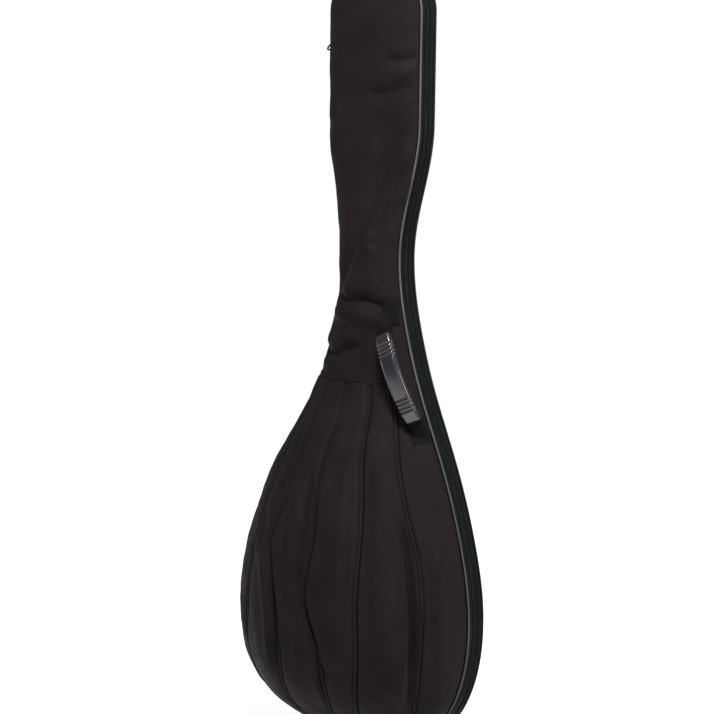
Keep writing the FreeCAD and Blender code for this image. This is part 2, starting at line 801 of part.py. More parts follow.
def pull(label, height, angle):
    """A tab that swings on a bar under the bridge; it is drawn hanging straight down."""
    axis_x = outer_plate_x - size("slider_plate") - (size("bridge_reach") - size("bridge_bar")) / 2
    inside = size("bridge_width") / 2 + size("pull_side_gap")
    outside = inside + size("pull_cheek")
    half_thick = size("pull_thickness") / 2
    frame = FreeCAD.Placement(
        FreeCAD.Vector(axis_x, parting_y, height),
        FreeCAD.Rotation(FreeCAD.Vector(0, 1, 0), angle),
    )
    bar = doc.addObject("Part::Cylinder", label + "_bar")
    bar.setExpression("Radius", "Sizes.pull_bar_radius")
    bar.setExpression(
        "Height", "Sizes.bridge_width + 2 * Sizes.pull_side_gap + 2 * Sizes.pull_cheek"
    )
    bar.Placement = FreeCAD.Placement(
        FreeCAD.Vector(0, outside, 0), FreeCAD.Rotation(FreeCAD.Vector(1, 0, 0), 90)
    )
    cheeks = []
    for side, low in (("left", -outside), ("right", inside)):
        cheek = sheet_box(
            label + "_cheek_" + side,
            (
                "Sizes.pull_thickness",
                "Sizes.pull_cheek",
                "Sizes.pull_neck_start + Sizes.pull_bar_radius + Sizes.pull_cheek",
            ),
            FreeCAD.Vector(-half_thick, low, -size("pull_neck_start") - size("pull_cheek")),
        )
        cheeks.append(cheek)
    end_radius = size("pull_end_radius")
    tip_z = end_radius - size("pull_length")
    neck_z = -size("pull_neck_start")
    left_neck = FreeCAD.Vector(-half_thick, -outside, neck_z)
    right_neck = FreeCAD.Vector(-half_thick, outside, neck_z)
    left_tip = FreeCAD.Vector(-half_thick, -end_radius, tip_z)
    right_tip = FreeCAD.Vector(-half_thick, end_radius, tip_z)
    tip = FreeCAD.Vector(-half_thick, 0, tip_z - end_radius)
    edges = [
        Part.makeLine(right_neck, left_neck),
        Part.makeLine(left_neck, left_tip),
        Part.Arc(left_tip, tip, right_tip).toShape(),
        Part.makeLine(right_tip, right_neck),
    ]
    tab_base = base_face(label + "_outline", Part.Face(Part.Wire(edges)))
    tab = doc.addObject("Part::Extrusion", label + "_tab")
    tab.Base = tab_base
    tab.DirMode = "Custom"
    tab.Dir = FreeCAD.Vector(1, 0, 0)
    tab.Solid = True
    tab.setExpression("LengthFwd", "Sizes.pull_thickness")
    hole = doc.addObject("Part::Cylinder", label + "_hole")
    hole.setExpression("Radius", "Sizes.pull_hole_radius")
    hole.setExpression("Height", "4 * Sizes.pull_thickness")
    hole.Placement = FreeCAD.Placement(
        FreeCAD.Vector(-2 * size("pull_thickness"), 0, tip_z),
        FreeCAD.Rotation(FreeCAD.Vector(0, 1, 0), 90),
    )
    plate = joined("Part::Cut", label + "_plate", tab, hole)
    body = doc.addObject("Part::MultiFuse", label + "_body")
    body.Shapes = [bar, plate] + cheeks
    body.Placement = frame
    return keep(label, body)


slider("slider_upper", size("upper_slider_height"))
slider("slider_lower", size("lower_slider_height"))
pull("pull_upper", size("upper_slider_height"), size("upper_pull_angle"))
pull("pull_lower", size("lower_slider_height"), 0)

doc.recompute()

bad = [o.Name for o in doc.Objects if "Invalid" in o.State or "Error" in o.State]
assert not bad, "did not recompute: %s" % bad
for label, thing in pieces.items():
    shape = thing.Shape
    assert not shape.isNull() and shape.isValid(), "no valid shape: " + label
    assert len(shape.Solids) == 1, "%s has %d solids" % (label, len(shape.Solids))
    shape.exportStep("parts/%s.step" % label)
    box = shape.BoundBox
    print("%-20s vol %9.1f  x %7.1f %7.1f  y %7.1f %7.1f  z %7.1f %7.1f" % (
        label, shape.Volume / 1000.0, box.XMin, box.XMax, box.YMin, box.YMax, box.ZMin, box.ZMax,
    ))
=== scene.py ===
import json
import math

import bpy
import numpy as np
from mathutils import Matrix, Vector


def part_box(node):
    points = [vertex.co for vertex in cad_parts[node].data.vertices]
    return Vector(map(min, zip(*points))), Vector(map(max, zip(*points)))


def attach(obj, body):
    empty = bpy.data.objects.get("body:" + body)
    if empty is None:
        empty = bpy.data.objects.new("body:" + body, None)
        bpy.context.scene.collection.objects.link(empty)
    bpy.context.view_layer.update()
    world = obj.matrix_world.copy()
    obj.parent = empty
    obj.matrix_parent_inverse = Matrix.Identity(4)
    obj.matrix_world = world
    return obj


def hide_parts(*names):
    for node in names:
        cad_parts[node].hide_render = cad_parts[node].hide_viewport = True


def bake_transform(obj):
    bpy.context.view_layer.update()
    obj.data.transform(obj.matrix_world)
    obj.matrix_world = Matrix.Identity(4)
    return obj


# A padded bag for a lute guitar, upright, ribbed back toward -Y, flat lid toward +Y.
# Metres throughout. The CAD pieces give the places, and the cloth is built around them here.

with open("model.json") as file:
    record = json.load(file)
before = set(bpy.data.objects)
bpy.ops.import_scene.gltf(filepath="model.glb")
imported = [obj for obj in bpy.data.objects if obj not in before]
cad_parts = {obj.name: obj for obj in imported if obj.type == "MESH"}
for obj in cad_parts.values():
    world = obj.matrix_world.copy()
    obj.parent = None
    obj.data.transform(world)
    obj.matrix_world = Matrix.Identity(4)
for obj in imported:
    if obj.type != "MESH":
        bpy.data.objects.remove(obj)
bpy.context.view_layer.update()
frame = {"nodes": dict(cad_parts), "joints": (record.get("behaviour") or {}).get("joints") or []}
MM = 0.001
TINY = 1e-12
ROUNDING = 1e-9
FORWARD = np.array([0.0, 1.0, 0.0])


def joint(name):
    return next(j for j in frame["joints"] if j["name"] == name)


def node_low(name):
    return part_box(name)[0]


def node_high(name):
    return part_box(name)[1]


def box_middle(name):
    return (node_low(name).y + node_high(name).y) / 2


def box_width(name):
    return node_high(name).y - node_low(name).y


def unit(vectors):
    return vectors / np.maximum(np.linalg.norm(vectors, axis=-1)[..., None], TINY)


def run_along(path):
    """Length of a path up to each of its points."""
    run = np.zeros(len(path))
    run[1:] = np.cumsum(np.linalg.norm(np.diff(path, axis=0), axis=1))
    return run


def fade(value, length):
    """A share that grows from 0 to 1 over a length."""
    return np.clip(value / length, 0, 1)


def eased(share):
    return share * share * (3 - 2 * share)


def spread(column, rows):
    """A full grid from one value for each row and the values along the rows."""
    return np.broadcast_arrays(column[:, None], rows)


# Places that the frame gives.
RIM_GAP = 0.8 * MM
RIM_Y = node_low("rear_zip_band").y - RIM_GAP
LID_Y = node_low("lid_lining").y
LID_FRONT_Y = node_high("lid_cloth").y
PART_Y = joint("lid_swing")["pos_m"][1]
HINGE_LOW = node_low("rear_hinge_strip").z
HINGE_HIGH = node_high("rear_hinge_strip").z
BAND_LOW = node_low("joint_band").z
BAND_HIGH = node_high("joint_band").z
BAND_MIDDLE = (BAND_LOW + BAND_HIGH) / 2

# Stations up the bag: height, half width of the rim, depth of the back, in millimetres.
STATIONS = (
    (4.6, 0, 0), (31, 132, 76), (90, 171, 141), (180, 185, 167), (290, 167, 159), (400, 129, 114),
    (507, 84, 45), (560, 67, 41), (700, 48.5, 42), (790, 69, 30), (862, 80, 26), (1016, 80, 33),
    (1060, 58, 20), (1070.4, 0, 0),
)
TAIL_END = STATIONS[0][0] * MM
CROWN_END = STATIONS[-1][0] * MM
HEAD_FOOT = 10
HEAD_CORNER = 11


def smooth_run(points, start, finish, steps=48):
    """A smooth curve through points, with the given directions at its ends."""
    points = np.array(points, float)
    spans = np.linalg.norm(np.diff(points, axis=0), axis=1)
    count = len(points)
    system = np.zeros((count, count))
    right = np.zeros((count, 2))
    system[0, 0] = system[-1, -1] = 1
    right[0], right[-1] = start, finish
    for i in range(1, count - 1):
        before, after = spans[i - 1], spans[i]
        system[i, i - 1:i + 2] = after, 2 * (before + after), before
        right[i] = 3 * (
            after * (points[i] - points[i - 1]) / before
            + before * (points[i + 1] - points[i]) / after
        )
    slopes = np.linalg.solve(system, right)
    rows = []
    s = np.linspace(0, 1, steps, endpoint=False)[:, None]
    for i, span in enumerate(spans):
        rows.append(
            (2 * s ** 3 - 3 * s ** 2 + 1) * points[i] + (s ** 3 - 2 * s ** 2 + s) * span * slopes[i]
            + (3 * s ** 2 - 2 * s ** 3) * points[i + 1] + (s ** 3 - s ** 2) * span * slopes[i + 1]
        )
    return np.vstack(rows + [points[-1:]])


def with_normals(curve):
    """A curve in metres, with its directions outward."""
    along = unit(np.gradient(curve, axis=0))
    return curve * MM, np.stack([along[:, 1], -along[:, 0]], axis=1)


def width_curve():
    points = [(half, height) for height, half, _ in STATIONS]
    lower = smooth_run(points[:HEAD_FOOT + 1], (1, 0), (0, 1))
    upper = smooth_run(points[HEAD_CORNER:], (0, 1), (-1, 0))
    return np.vstack([lower, upper])


WIDTH = with_normals(width_curve())
DEPTH = with_normals(smooth_run([(depth, height) for height, _, depth in STATIONS], (1, 0), (-1, 0)))


def reach(profile, height, out=0.0):
    points = profile[0] + profile[1] * out
    return np.interp(height, np.maximum.accumulate(points[:, 1]), np.maximum(points[:, 0], 0))


def back_points(heights, angles, out=0.0):
    """Points of the padded back. Angle 0 is the right rim and 180 the left rim, in degrees."""
    turn = np.radians(angles)
    half = reach(WIDTH, heights, out)
    deep = reach(DEPTH, heights, out)
    return np.stack([half * np.cos(turn), RIM_Y - deep * np.sin(turn), heights], axis=-1)


def grid_normals(points):
    """Directions straight out of the back, for a grid of heights by angles."""
    return unit(np.cross(np.gradient(points, axis=0), np.gradient(points, axis=1)))


def per_degree(heights):
    """About how much cloth there is in one degree round the back."""
    return (reach(WIDTH, heights) + reach(DEPTH, heights)) / 2 * math.pi / 180


def path_distance(heights, angles, path):
    """Distance to a path, on which side of it, and how far along it. Side 1 has the greater angles."""
    scale = per_degree(heights)
    best = np.ones_like(angles)
    side = np.ones_like(angles)
    place = np.zeros_like(angles)
    for number, ((h0, a0), (h1, a1)) in enumerate(zip(path, path[1:])):
        up = (h1 - h0) * MM
        over = (a1 - a0) * scale
        from_up = heights - h0 * MM
        from_over = (angles - a0) * scale
        share = fade(from_up * up + from_over * over, np.maximum(up * up + over * over, TINY))
        gap_over = from_over - share * over
        distance = np.hypot(from_up - share * up, gap_over)
        nearer = distance < best
        best = np.where(nearer, distance, best)
        side = np.where(nearer, np.sign(gap_over + ROUNDING), side)
        place = np.where(nearer, (number + share) / (len(path) - 1), place)
    return best, side, place


class Fold:
    """A crease with a soft ridge on one or both sides of it. Sizes are in millimetres."""

    end_share = 0.2
    sharpness = 1.5
    ridge_place = 2.2
    ridge_spread = 1.5
    weak_ridge = 0.15

    def __init__(self, path, width, depth, ridge=0.0, ridge_side=0):
        self.path = path
        self.width = width * MM
        self.depth = depth * MM
        self.ridge = ridge * MM
        self.ridge_side = ridge_side

    def lift(self, heights, angles):
        distance, side, place = path_distance(heights, angles, self.path)
        ends = eased(fade(np.minimum(place, 1 - place), self.end_share))
        crease = -self.depth * np.exp(-(distance / self.width) ** self.sharpness)
        from_ridge = distance - self.ridge_place * self.width
        swell = self.ridge * np.exp(-(from_ridge / (self.ridge_spread * self.width)) ** 2)
        if self.ridge_side:
            swell = np.where(side * self.ridge_side > 0, swell, self.weak_ridge * swell)
        return (crease + swell) * ends


# Folds of the cloth, each a path of (height in mm, angle in degrees) on the back.
BOWL_FOLDS = (
    Fold([(292, 107), (262, 104), (241, 102), (196, 98.6), (150, 98.4), (100, 101)], 5, 12, 4, 1),
    Fold([(215, 81), (202, 79.8), (172, 76.8), (146, 74.8), (100, 75.6), (54, 77.8)], 3, 6, 2.5, 1),
    Fold([(350, 34), (275, 30.4), (195, 30.4), (96, 31), (60, 32)], 5, 11, 4, 1),
    Fold([(340, 37), (275, 33), (195, 33), (96, 34)], 16, 5, 2, 1),
    Fold([(268, 102), (241, 101), (196, 97.6), (150, 97.7), (105, 99.8)], 2.5, 8),
    Fold([(275, 30), (215, 29.8), (195, 30), (150, 30.4), (90, 31.2)], 2.5, 7),
    Fold([(300, 22), (240, 21), (180, 21.5), (110, 23)], 7, 4, 3, -1),
    Fold([(185, 44), (168, 45.5), (140, 47), (111, 48.5), (80, 50)], 11, 7, 4, -1),
    Fold([(430, 52), (330, 51), (250, 50.5), (170, 51), (90, 54)], 10, 5, 2.5),
    Fold([(400, 88), (330, 85), (260, 84), (215, 86)], 9, 5, 2.5),
    Fold([(420, 61), (330, 59.8), (250, 60), (150, 62)], 6, 2.5, 1.5, 1),
    Fold([(430, 28), (380, 24), (330, 21)], 8, 1.6, 1),
    Fold([(470, 74), (400, 69), (330, 66)], 12, 1.6, 1),
    Fold([(330, 112), (300, 112), (262, 110)], 7, 2.5, 1.5, 1),
    Fold([(120, 134), (160, 138), (210, 139)], 12, 3, 2, -1),
    Fold([(110, 62), (120, 68), (115, 74)], 12, 2, 1),
)

NECK_FOLDS = (
    Fold([(866, 14), (840, 44), (791, 58), (726, 71), (680, 97), (640, 127), (612, 160)], 13, 9, 6, -1),
    Fold([(812, 16), (780, 34), (735, 44), (700, 60)], 9, 5, 4, -1),
    Fold([(770, 6), (735, 26), (705, 44), (690, 58)], 8, 5, 3, 1),
    Fold([(622, 130), (617, 100), (616, 65), (606, 20)], 9, 8, 6, 1),
    Fold([(640, 16), (612, 30), (600, 52)], 7, 2, 1),
    Fold([(541, 156), (541, 122), (549, 99), (556, 70)], 8, 6, 4, 1),
    Fold([(955, 4), (950, 30), (947, 56)], 7, 4, 2),
    Fold([(918, 12), (908, 48), (896, 84)], 9, 4, 2),
    Fold([(900, 120), (872, 140), (850, 160)], 9, 1.5, 1),
    Fold([(870, 40), (850, 70), (842, 100)], 12, 1.5, 1),
    Fold([(530, 60), (528, 90), (534, 130)], 12, 2, 1),
)

# Uneven cloth: how high each kind of wave is, how long, and its seed.
LARGE_CRUMPLE = (2.0 * MM, 55 * MM, 3)
SMALL_CRUMPLE = (0.8 * MM, 18 * MM, 5)
SEAM_PUCKER = (0.9 * MM, 12 * MM, 31)
WALL_WAVE = (0.5 * MM, 45 * MM, 8)
LID_WAVE = (1.3 * MM, 90 * MM, 12)
LINING_WAVE = (0.5 * MM, 30 * MM, 21)
OCTAVES = 2
SEED_STEP = 17.3
OCTAVE_STEP = 5.1
HASH_PRIMES = np.array([73856093, 19349663, 83492791])
HASH_FACTOR = 2654435761


def waves(points, kind):
    """Smooth repeatable waves over an array of points."""
    height, cell, seed = kind
    total = np.zeros(points.shape[:-1])
    for octave in range(OCTAVES):
        place = points / cell * (2 ** octave) + seed * SEED_STEP + octave * OCTAVE_STEP
        base = np.floor(place).astype(int)
        part = eased(place - base)
        corner_sum = 0
        for corner in np.ndindex(2, 2, 2):
            mixed = np.bitwise_xor.reduce((base + np.array(corner)) * HASH_PRIMES, axis=-1)
            value = ((mixed * HASH_FACTOR) & 0xFFFFFF) / 0x7FFFFF - 1.0
            weight = np.prod(np.where(np.array(corner) == 1, part, 1 - part), axis=-1)
            corner_sum = corner_sum + value * weight
        total += 0.5 ** octave * corner_sum
    return height * total / (2 - 0.5 ** (OCTAVES - 1))


RIM_FADE_ANGLE = 7
END_FADE = 30 * MM
JOINT_FADE = 22 * MM


def fold_lift(folds, heights, angles):
    """How far folds and crumples lift the cloth. They fade at the rim, the ends and the joint band."""
    points = back_points(heights, angles)
    lift = sum(fold.lift(heights, angles) for fold in folds)
    lift += waves(points, LARGE_CRUMPLE) + waves(points, SMALL_CRUMPLE)
    rim_fade = fade(np.minimum(angles, 180 - angles), RIM_FADE_ANGLE)
    end_fade = fade(heights - TAIL_END, END_FADE) * fade(CROWN_END - heights, END_FADE)
    return lift * rim_fade * end_fade * fade(np.abs(heights - BAND_MIDDLE), JOINT_FADE)


# Seams of the bowl, each a path of (height in mm, angle in degrees).
SEAM_PATHS = (
    ((4, 30), (95, 27.5), (153, 27), (216, 25.5), (284, 26), (351, 30.5), (418, 34), (483, 39), (503, 41)),
    ((4, 66), (68, 61), (153, 56.5), (216, 56), (271, 54.5), (377, 55), (430, 59), (481, 63), (503, 65)),
    ((4, 86), (54, 78.5), (146, 75.5), (202, 80.5), (293, 77.5), (347, 79), (399, 83), (478, 89.5),
     (503, 92)),
    ((4, 112), (68, 104), (122, 97), (196, 97), (241, 100.5), (283, 105.5), (323, 102), (367, 101.5),
     (420, 108), (503, 118)),
    ((4, 134), (150, 124), (287, 118.5), (324, 119), (375, 119.5), (422, 126), (503, 138)),
    ((4, 154), (250, 153), (503, 157)),
)
GORES = len(SEAM_PATHS) + 1


def seam_angle(number, heights):
    """Angle of a seam at each height. Seam 0 and the last one are the rims."""
    if number in (0, GORES):
        return np.full_like(heights, 180.0 if number else 0.0)
    steps = smooth_run([(a, h) for h, a in SEAM_PATHS[number - 1]], (0, 1), (0, 1), 12)
    return np.interp(heights / MM, steps[:, 1], steps[:, 0])


# Mesh building.

def new_object(name, data):
    thing = bpy.data.objects.new(name, data)
    bpy.context.scene.collection.objects.link(thing)
    return thing


def mesh_object(name, vertices, faces, material):
    mesh = bpy.data.meshes.new(name)
    mesh.from_pydata([tuple(v) for v in vertices], [], faces)
    mesh.update()
    mesh.shade_smooth()
    thing = new_object(name, mesh)
    mesh.materials.append(material)
    return thing


def merged(name, parts, material):
    """One piece from several pairs of vertices and faces."""
    vertices = []
    faces = []
    for points, polygons in parts:
        first = len(vertices)
        faces += [tuple(first + i for i in polygon) for polygon in polygons]
        vertices.extend(points)
    return mesh_object(name, vertices, faces, material)


def lay_weave(thing, places):
    """A UV map in metres of cloth, so that a weave keeps its size and runs with the cloth."""
    layer = thing.data.uv_layers.new(name="weave")
    indices = np.empty(len(thing.data.loops), np.int32)
    thing.data.loops.foreach_get("vertex_index", indices)
    layer.data.foreach_set("uv", np.asarray(places, np.float32)[indices].ravel())


def flat_places(across, up):
    return np.stack(np.meshgrid(across, up), axis=-1).reshape(-1, 2)


def quads(rows, columns, closed_rows=False, closed_columns=False):
    faces = []
    for r in range(rows if closed_rows else rows - 1):
        for c in range(columns if closed_columns else columns - 1):
            r2 = (r + 1) % rows
            c2 = (c + 1) % columns
            faces.append((r * columns + c, r * columns + c2, r2 * columns + c2, r2 * columns + c))
    return faces


def tube_faces(rows, columns, closed=False):
    """Faces of a tube, with a lid at both ends if it isn't closed to a ring."""
    faces = quads(rows, columns, closed_rows=closed, closed_columns=True)
    if not closed:
        faces.append(tuple(range(columns)))
        faces.append(tuple(range(rows * columns - 1, (rows - 1) * columns - 1, -1)))
    return faces


def padded_panel(name, outer, inner, material):
    """A closed panel: an outer and an inner grid of the same size, joined round their edge."""
    rows, columns = outer.shape[:2]
    count = rows * columns
    vertices = np.vstack([outer.reshape(-1, 3), inner.reshape(-1, 3)])
    faces = quads(rows, columns)
    faces += [tuple(count + i for i in reversed(f)) for f in faces]
    edge = [(0, c) for c in range(columns)] + [(r, columns - 1) for r in range(1, rows)]
    edge += [(rows - 1, c) for c in range(columns - 2, -1, -1)] + [(r, 0) for r in range(rows - 2, 0, -1)]
    for (r0, c0), (r1, c1) in zip(edge, edge[1:] + edge[:1]):
        near, far = r0 * columns + c0, r1 * columns + c1
        faces.append((far, near, count + near, count + far))
    thing = mesh_object(name, vertices, faces, material)
    places = flat_places(run_along(outer[rows // 2]), run_along(outer[:, columns // 2]))
    lay_weave(thing, np.vstack([places, places]))
    return thing


def swept(path, side, up, section, closed=False, scale=1):
    """Vertices and faces of a section of (along side, along up) points carried along a path."""
    scaled = np.array(section, float)[None] * (np.reshape(scale, (-1, 1, 2)) if np.ndim(scale) else scale)
    side = np.broadcast_to(side, path.shape)[:, None]
    up = np.broadcast_to(up, path.shape)[:, None]
    vertices = path[:, None] + scaled[..., :1] * side + scaled[..., 1:] * up
    return vertices.reshape(-1, 3), tube_faces(len(path), len(section), closed)


def sweep(name, path, side, up, section, material, closed=False, scale=1):
    vertices, faces = swept(path, side, up, section, closed, scale)
    thing = mesh_object(name, vertices, faces, material)
    lay_weave(thing, flat_places(run_along(section), run_along(path)))
    return thing


def rounded_section(width, thick, corner, steps=3):
    """Points round a flat section with rounded corners."""
    points = []
    for cx, cy, start in ((1, 1, 0), (-1, 1, 90), (-1, -1, 180), (1, -1, 270)):
        for i in range(steps + 1):
            turn = math.radians(start + 90 * i / steps)
            points.append((
                cx * (width / 2 - corner) + corner * math.cos(turn),
                cy * (thick / 2 - corner) + corner * math.sin(turn),
            ))
    return points


def circle_section(radius, count):
    turns = [2 * math.pi * i / count for i in range(count)]
    return [(radius * math.cos(turn), radius * math.sin(turn)) for turn in turns]


def evenly(path, pitch, closed=False):
    """Places at an even pitch along a path, the run of the path, and the path itself."""
    if closed:
        path = np.vstack([path, path[:1]])
    run = run_along(path)
    count = max(2, int(run[-1] / pitch))
    return (np.arange(count) + 0.5) * run[-1] / count, run, path


def at_run(values, run, marks):
    return np.stack([np.interp(marks, run, values[:, i]) for i in range(values.shape[1])], axis=1)


def pegs(near, far, side, up, wide, tall, rings, sides):
    """Vertices and faces of short closed pegs. Each ring has its share of the length and its size."""
    vertices = []
    for share, size in rings:
        centre = near + (far - near) * share
        for x, y in circle_section(size, sides):
            vertices.append(centre + side * wide * x + up * tall * y)
    vertices = np.array(vertices).transpose(1, 0, 2).reshape(-1, 3)
    one = tube_faces(len(rings), sides)
    block = len(rings) * sides
    faces = [tuple(i + k * block for i in f) for k in range(len(near)) for f in one]
    return vertices, faces


STITCH_RINGS = ((0.0, 0.15), (0.12, 0.8), (0.5, 1.0), (0.88, 0.8), (1.0, 0.15))
STITCH_SIDES = 5


def stitches(path, up, length, pitch, radius, closed=False):
    """Rounded stitches along a path, each lying along it. Sizes are in millimetres."""
    marks, run, full = evenly(path, pitch * MM, closed)
    ups = np.vstack([up, up[:1]]) if closed else up
    near = at_run(full, run, marks - length * MM / 2)
    far = at_run(full, run, marks + length * MM / 2)
    lifted = unit(at_run(ups, run, marks))
    side = unit(np.cross(unit(far - near), lifted))
    return pegs(near, far, side, lifted, radius * MM, radius * MM, STITCH_RINGS, STITCH_SIDES)


# Materials.

def srgb(levels, share=1.0):
    """A screen colour, 0 to 255, on the shader's scale and times a share."""
    parts = [level / 255 for level in levels]
    linear = [p / 12.92 if p <= 0.04045 else ((p + 0.055) / 1.055) ** 2.4 for p in parts]
    return tuple(value * share for value in linear) + (1.0,)


class Shader:
    """The nodes of a material or of the world, with short ways to add to them."""

    def __init__(self, name, group="materials", base="Principled BSDF"):
        self.owner = getattr(bpy.data, group).new(name)
        self.owner.use_nodes = True
        self.nodes = self.owner.node_tree.nodes
        self.link = self.owner.node_tree.links.new
        self.base = self.nodes[base]
        self.normal = None

    def add(self, kind, **values):
        node = self.nodes.new(kind)
        self.set(node, **values)
        return node

    def set(self, node, **values):
        """Values for a node's settings and inputs, by name."""
        for key, value in values.items():
            if hasattr(node, key):
                setattr(node, key, value)
            else:
                node.inputs[key.replace("_", " ")].default_value = value

    def seen(self, *rays):
        """1 for rays of these two kinds, 0 for others."""
        path = self.add("ShaderNodeLightPath")
        largest = self.add("ShaderNodeMath", operation="MAXIMUM")
        for number, ray in enumerate(rays):
            self.link(path.outputs["Is %s Ray" % ray], largest.inputs[number])
        return largest.outputs["Value"]

    def noise(self, scale, detail=3.0, roughness=0.55):
        texture = self.add("ShaderNodeTexNoise", Scale=scale, Detail=detail, Roughness=roughness)
        self.link(self.add("ShaderNodeTexCoord").outputs["Object"], texture.inputs["Vector"])
        return texture.outputs["Fac"]

    def colour(self, factor, *stops):
        """Base colour from a factor, with a colour at each stop."""
        ramp = self.add("ShaderNodeValToRGB")
        elements = ramp.color_ramp.elements
        while len(elements) < len(stops):
            elements.new(0.5)
        for element, (place, shade) in zip(elements, stops):
            element.position = place
            element.color = shade
        self.link(factor, ramp.inputs["Fac"])
        self.link(ramp.outputs["Color"], self.base.inputs["Base Color"])

    def roughness(self, low, high, scale):
        between = self.add("ShaderNodeMapRange", To_Min=low, To_Max=high)
        self.link(self.noise(scale), between.inputs["Value"])
        self.link(between.outputs["Result"], self.base.inputs["Roughness"])

    def bump(self, height, strength, distance):
        bump = self.add("ShaderNodeBump", Strength=strength, Distance=distance)
        self.link(height, bump.inputs["Height"])
        if self.normal is not None:
            self.link(self.normal, bump.inputs["Normal"])
        self.normal = bump.outputs["Normal"]
        self.link(self.normal, self.base.inputs["Normal"])

    def weave(self, pitch):
        """Warp and weft threads crossing, from the cloth's own map in metres."""
        where = self.add("ShaderNodeUVMap", uv_map="weave")
        both = self.add("ShaderNodeMath", operation="MULTIPLY")
        for number, direction in enumerate("XY"):
            wave = self.add("ShaderNodeTexWave", wave_type="BANDS", bands_direction=direction,
                            Scale=WAVE_PERIOD / pitch, Distortion=0.6, Detail=1.0)
            self.link(where.outputs["UV"], wave.inputs["Vector"])
            self.link(wave.outputs["Fac"], both.inputs[number])
        return both.outputs["Value"]


# The length of one band of a wave texture at scale 1.
WAVE_PERIOD = 0.314


def nylon(name, colour, warm, cool, roughness=0.62, pitch=0.0009, sheen=0.01):
    """Woven nylon: soft blotches of a warmer and a cooler shade, thread crossings and fine creases."""
    shader = Shader(name)
    blotch = shader.noise(14.0, 4.0, 0.6)
    shader.colour(blotch, (0.3, srgb(warm)), (0.5, srgb(colour)), (0.72, srgb(cool)))
    shader.roughness(roughness - 0.08, roughness + 0.1, 60.0)
    shader.set(shader.base, Sheen_Weight=sheen, Sheen_Roughness=0.5, Specular_IOR_Level=0.04)
    shader.bump(shader.noise(70.0, 5.0, 0.6), 0.25, 0.0012)
    shader.bump(shader.weave(pitch), 0.35, 0.0002)
    return shader.owner


def thread(name, colour):
    shader = Shader(name)
    shader.colour(shader.noise(900.0, 2.0), (0.35, srgb(colour, 0.7)), (0.65, srgb(colour)))
    shader.set(shader.base, Roughness=0.8, Specular_IOR_Level=0.1)
    shader.bump(shader.noise(2500.0, 2.0), 0.4, 0.0002)
    return shader.owner


def moulded(name, colour, roughness, grain, coat=0.0):
    """Moulded rubber or plastic with a fine grain, and rubbed lighter patches."""
    shader = Shader(name)
    shader.colour(shader.noise(45.0, 4.0), (0.35, srgb(colour, 0.8)), (0.7, srgb(colour, 1.15)))
    shader.roughness(roughness * 0.8, roughness * 1.3, 120.0)
    shader.set(shader.base, Coat_Weight=coat, Coat_Roughness=0.2)
    shader.bump(shader.noise(grain, 3.0), 0.15, 0.0003)
    return shader.owner


def metal(name, colour, roughness):
    shader = Shader(name)
    shader.colour(shader.noise(300.0, 3.0), (0.3, srgb(colour, 0.7)), (0.7, srgb(colour)))
    shader.set(shader.base, Metallic=1.0, Roughness=roughness)
    shader.bump(shader.noise(1500.0, 2.0), 0.1, 0.0001)
    return shader.owner


NYLON = nylon("nylon_back", (36, 30, 32), (41, 32, 34), (30, 27, 29))
# A shade lighter than the back's nylon: painted light for the raised seam bands and the joint band, which
# catch more light.
BAND_NYLON = nylon("nylon_seam_band", (36, 31, 33), (42, 33, 36), (30, 28, 30))
SIDE_NYLON = nylon("nylon_side", (27, 31, 31), (31, 33, 32), (22, 28, 28), 0.5, 0.0011)
LID_NYLON = nylon("nylon_lid", (33, 29, 31), (38, 32, 33), (28, 27, 28))
LINING = nylon("lining_cloth", (52, 52, 56), (58, 56, 58), (46, 47, 52), 0.45, 0.0006, 0.1)
TAPE = nylon("zip_tape", (18, 19, 20), (22, 21, 22), (15, 16, 17), 0.7, 0.0007)
WEBBING = nylon("webbing", (19, 18, 20), (23, 21, 23), (15, 15, 18), 0.55, 0.0016)
PIPING = nylon("piping_cord", (102, 100, 105), (90, 88, 92), (114, 112, 117), 0.42, 0.0008)
DARK_PIPING = nylon("dark_piping_cord", (44, 48, 48), (40, 42, 42), (52, 56, 56), 0.42, 0.0008)
PATCH = nylon("patch_cloth", (24, 22, 23), (28, 24, 25), (20, 19, 20), 0.5, 0.0012)
THREAD = thread("black_thread", (10, 9, 10))
COIL = moulded("zip_coil", (20, 22, 23), 0.35, 2000.0)
RUBBER = moulded("handle_rubber", (42, 40, 46), 0.22, 900.0, 0.8)
PULL_RUBBER = moulded("pull_rubber", (14, 14, 16), 0.4, 1800.0)
SLIDER_METAL = metal("slider_metal", (70, 70, 72), 0.32)
RING_METAL = metal("pull_ring_metal", (120, 120, 124), 0.25)


# Ribbed bowl: gores, seam bands, their topstitching, and a near-black cord of painted shade in each seam's
# tight groove.

GORE_CROWN = 3.4 * MM
GORE_THICK = 6.5 * MM
GORE_ROWS = 260
DEEP_ENOUGH = 0.05
PUCKER_REACH = 8 * MM
SEAM_BAND_WIDTH = 4.4 * MM
SEAM_START = 3
STITCH_START = 6
TAIL = TAIL_END + 0.03 * MM
# Distances from a seam, in millimetres, where a gore has a column of points.
EDGE_COLUMNS = (0, 1.0, 1.8, 2.4, 3.0, 3.6, 4.4, 6.0, 9.0)
# The most that these columns take of a gore, and how many columns lie between them.
EDGE_SHARE = 0.3
INNER_COLUMNS = 18


def meridian_heights(low, high, count):
    """Heights spaced evenly along the middle of the back."""
    curve = DEPTH[0]
    inside = curve[(curve[:, 1] >= low) & (curve[:, 1] <= high)]
    run = run_along(inside)
    heights = np.interp(np.linspace(0, run[-1], count), run, inside[:, 1])
    heights[0], heights[-1] = low, high
    return heights


bowl_heights = meridian_heights(TAIL, BAND_LOW, GORE_ROWS)


def back_surface(heights, angles, out, folds):
    """Outer surface with its folds, and the normals."""
    points = back_points(heights, angles)
    normals = grid_normals(points)
    lift = fold_lift(folds, heights, angles) + out
    return points + normals * lift[..., None], normals


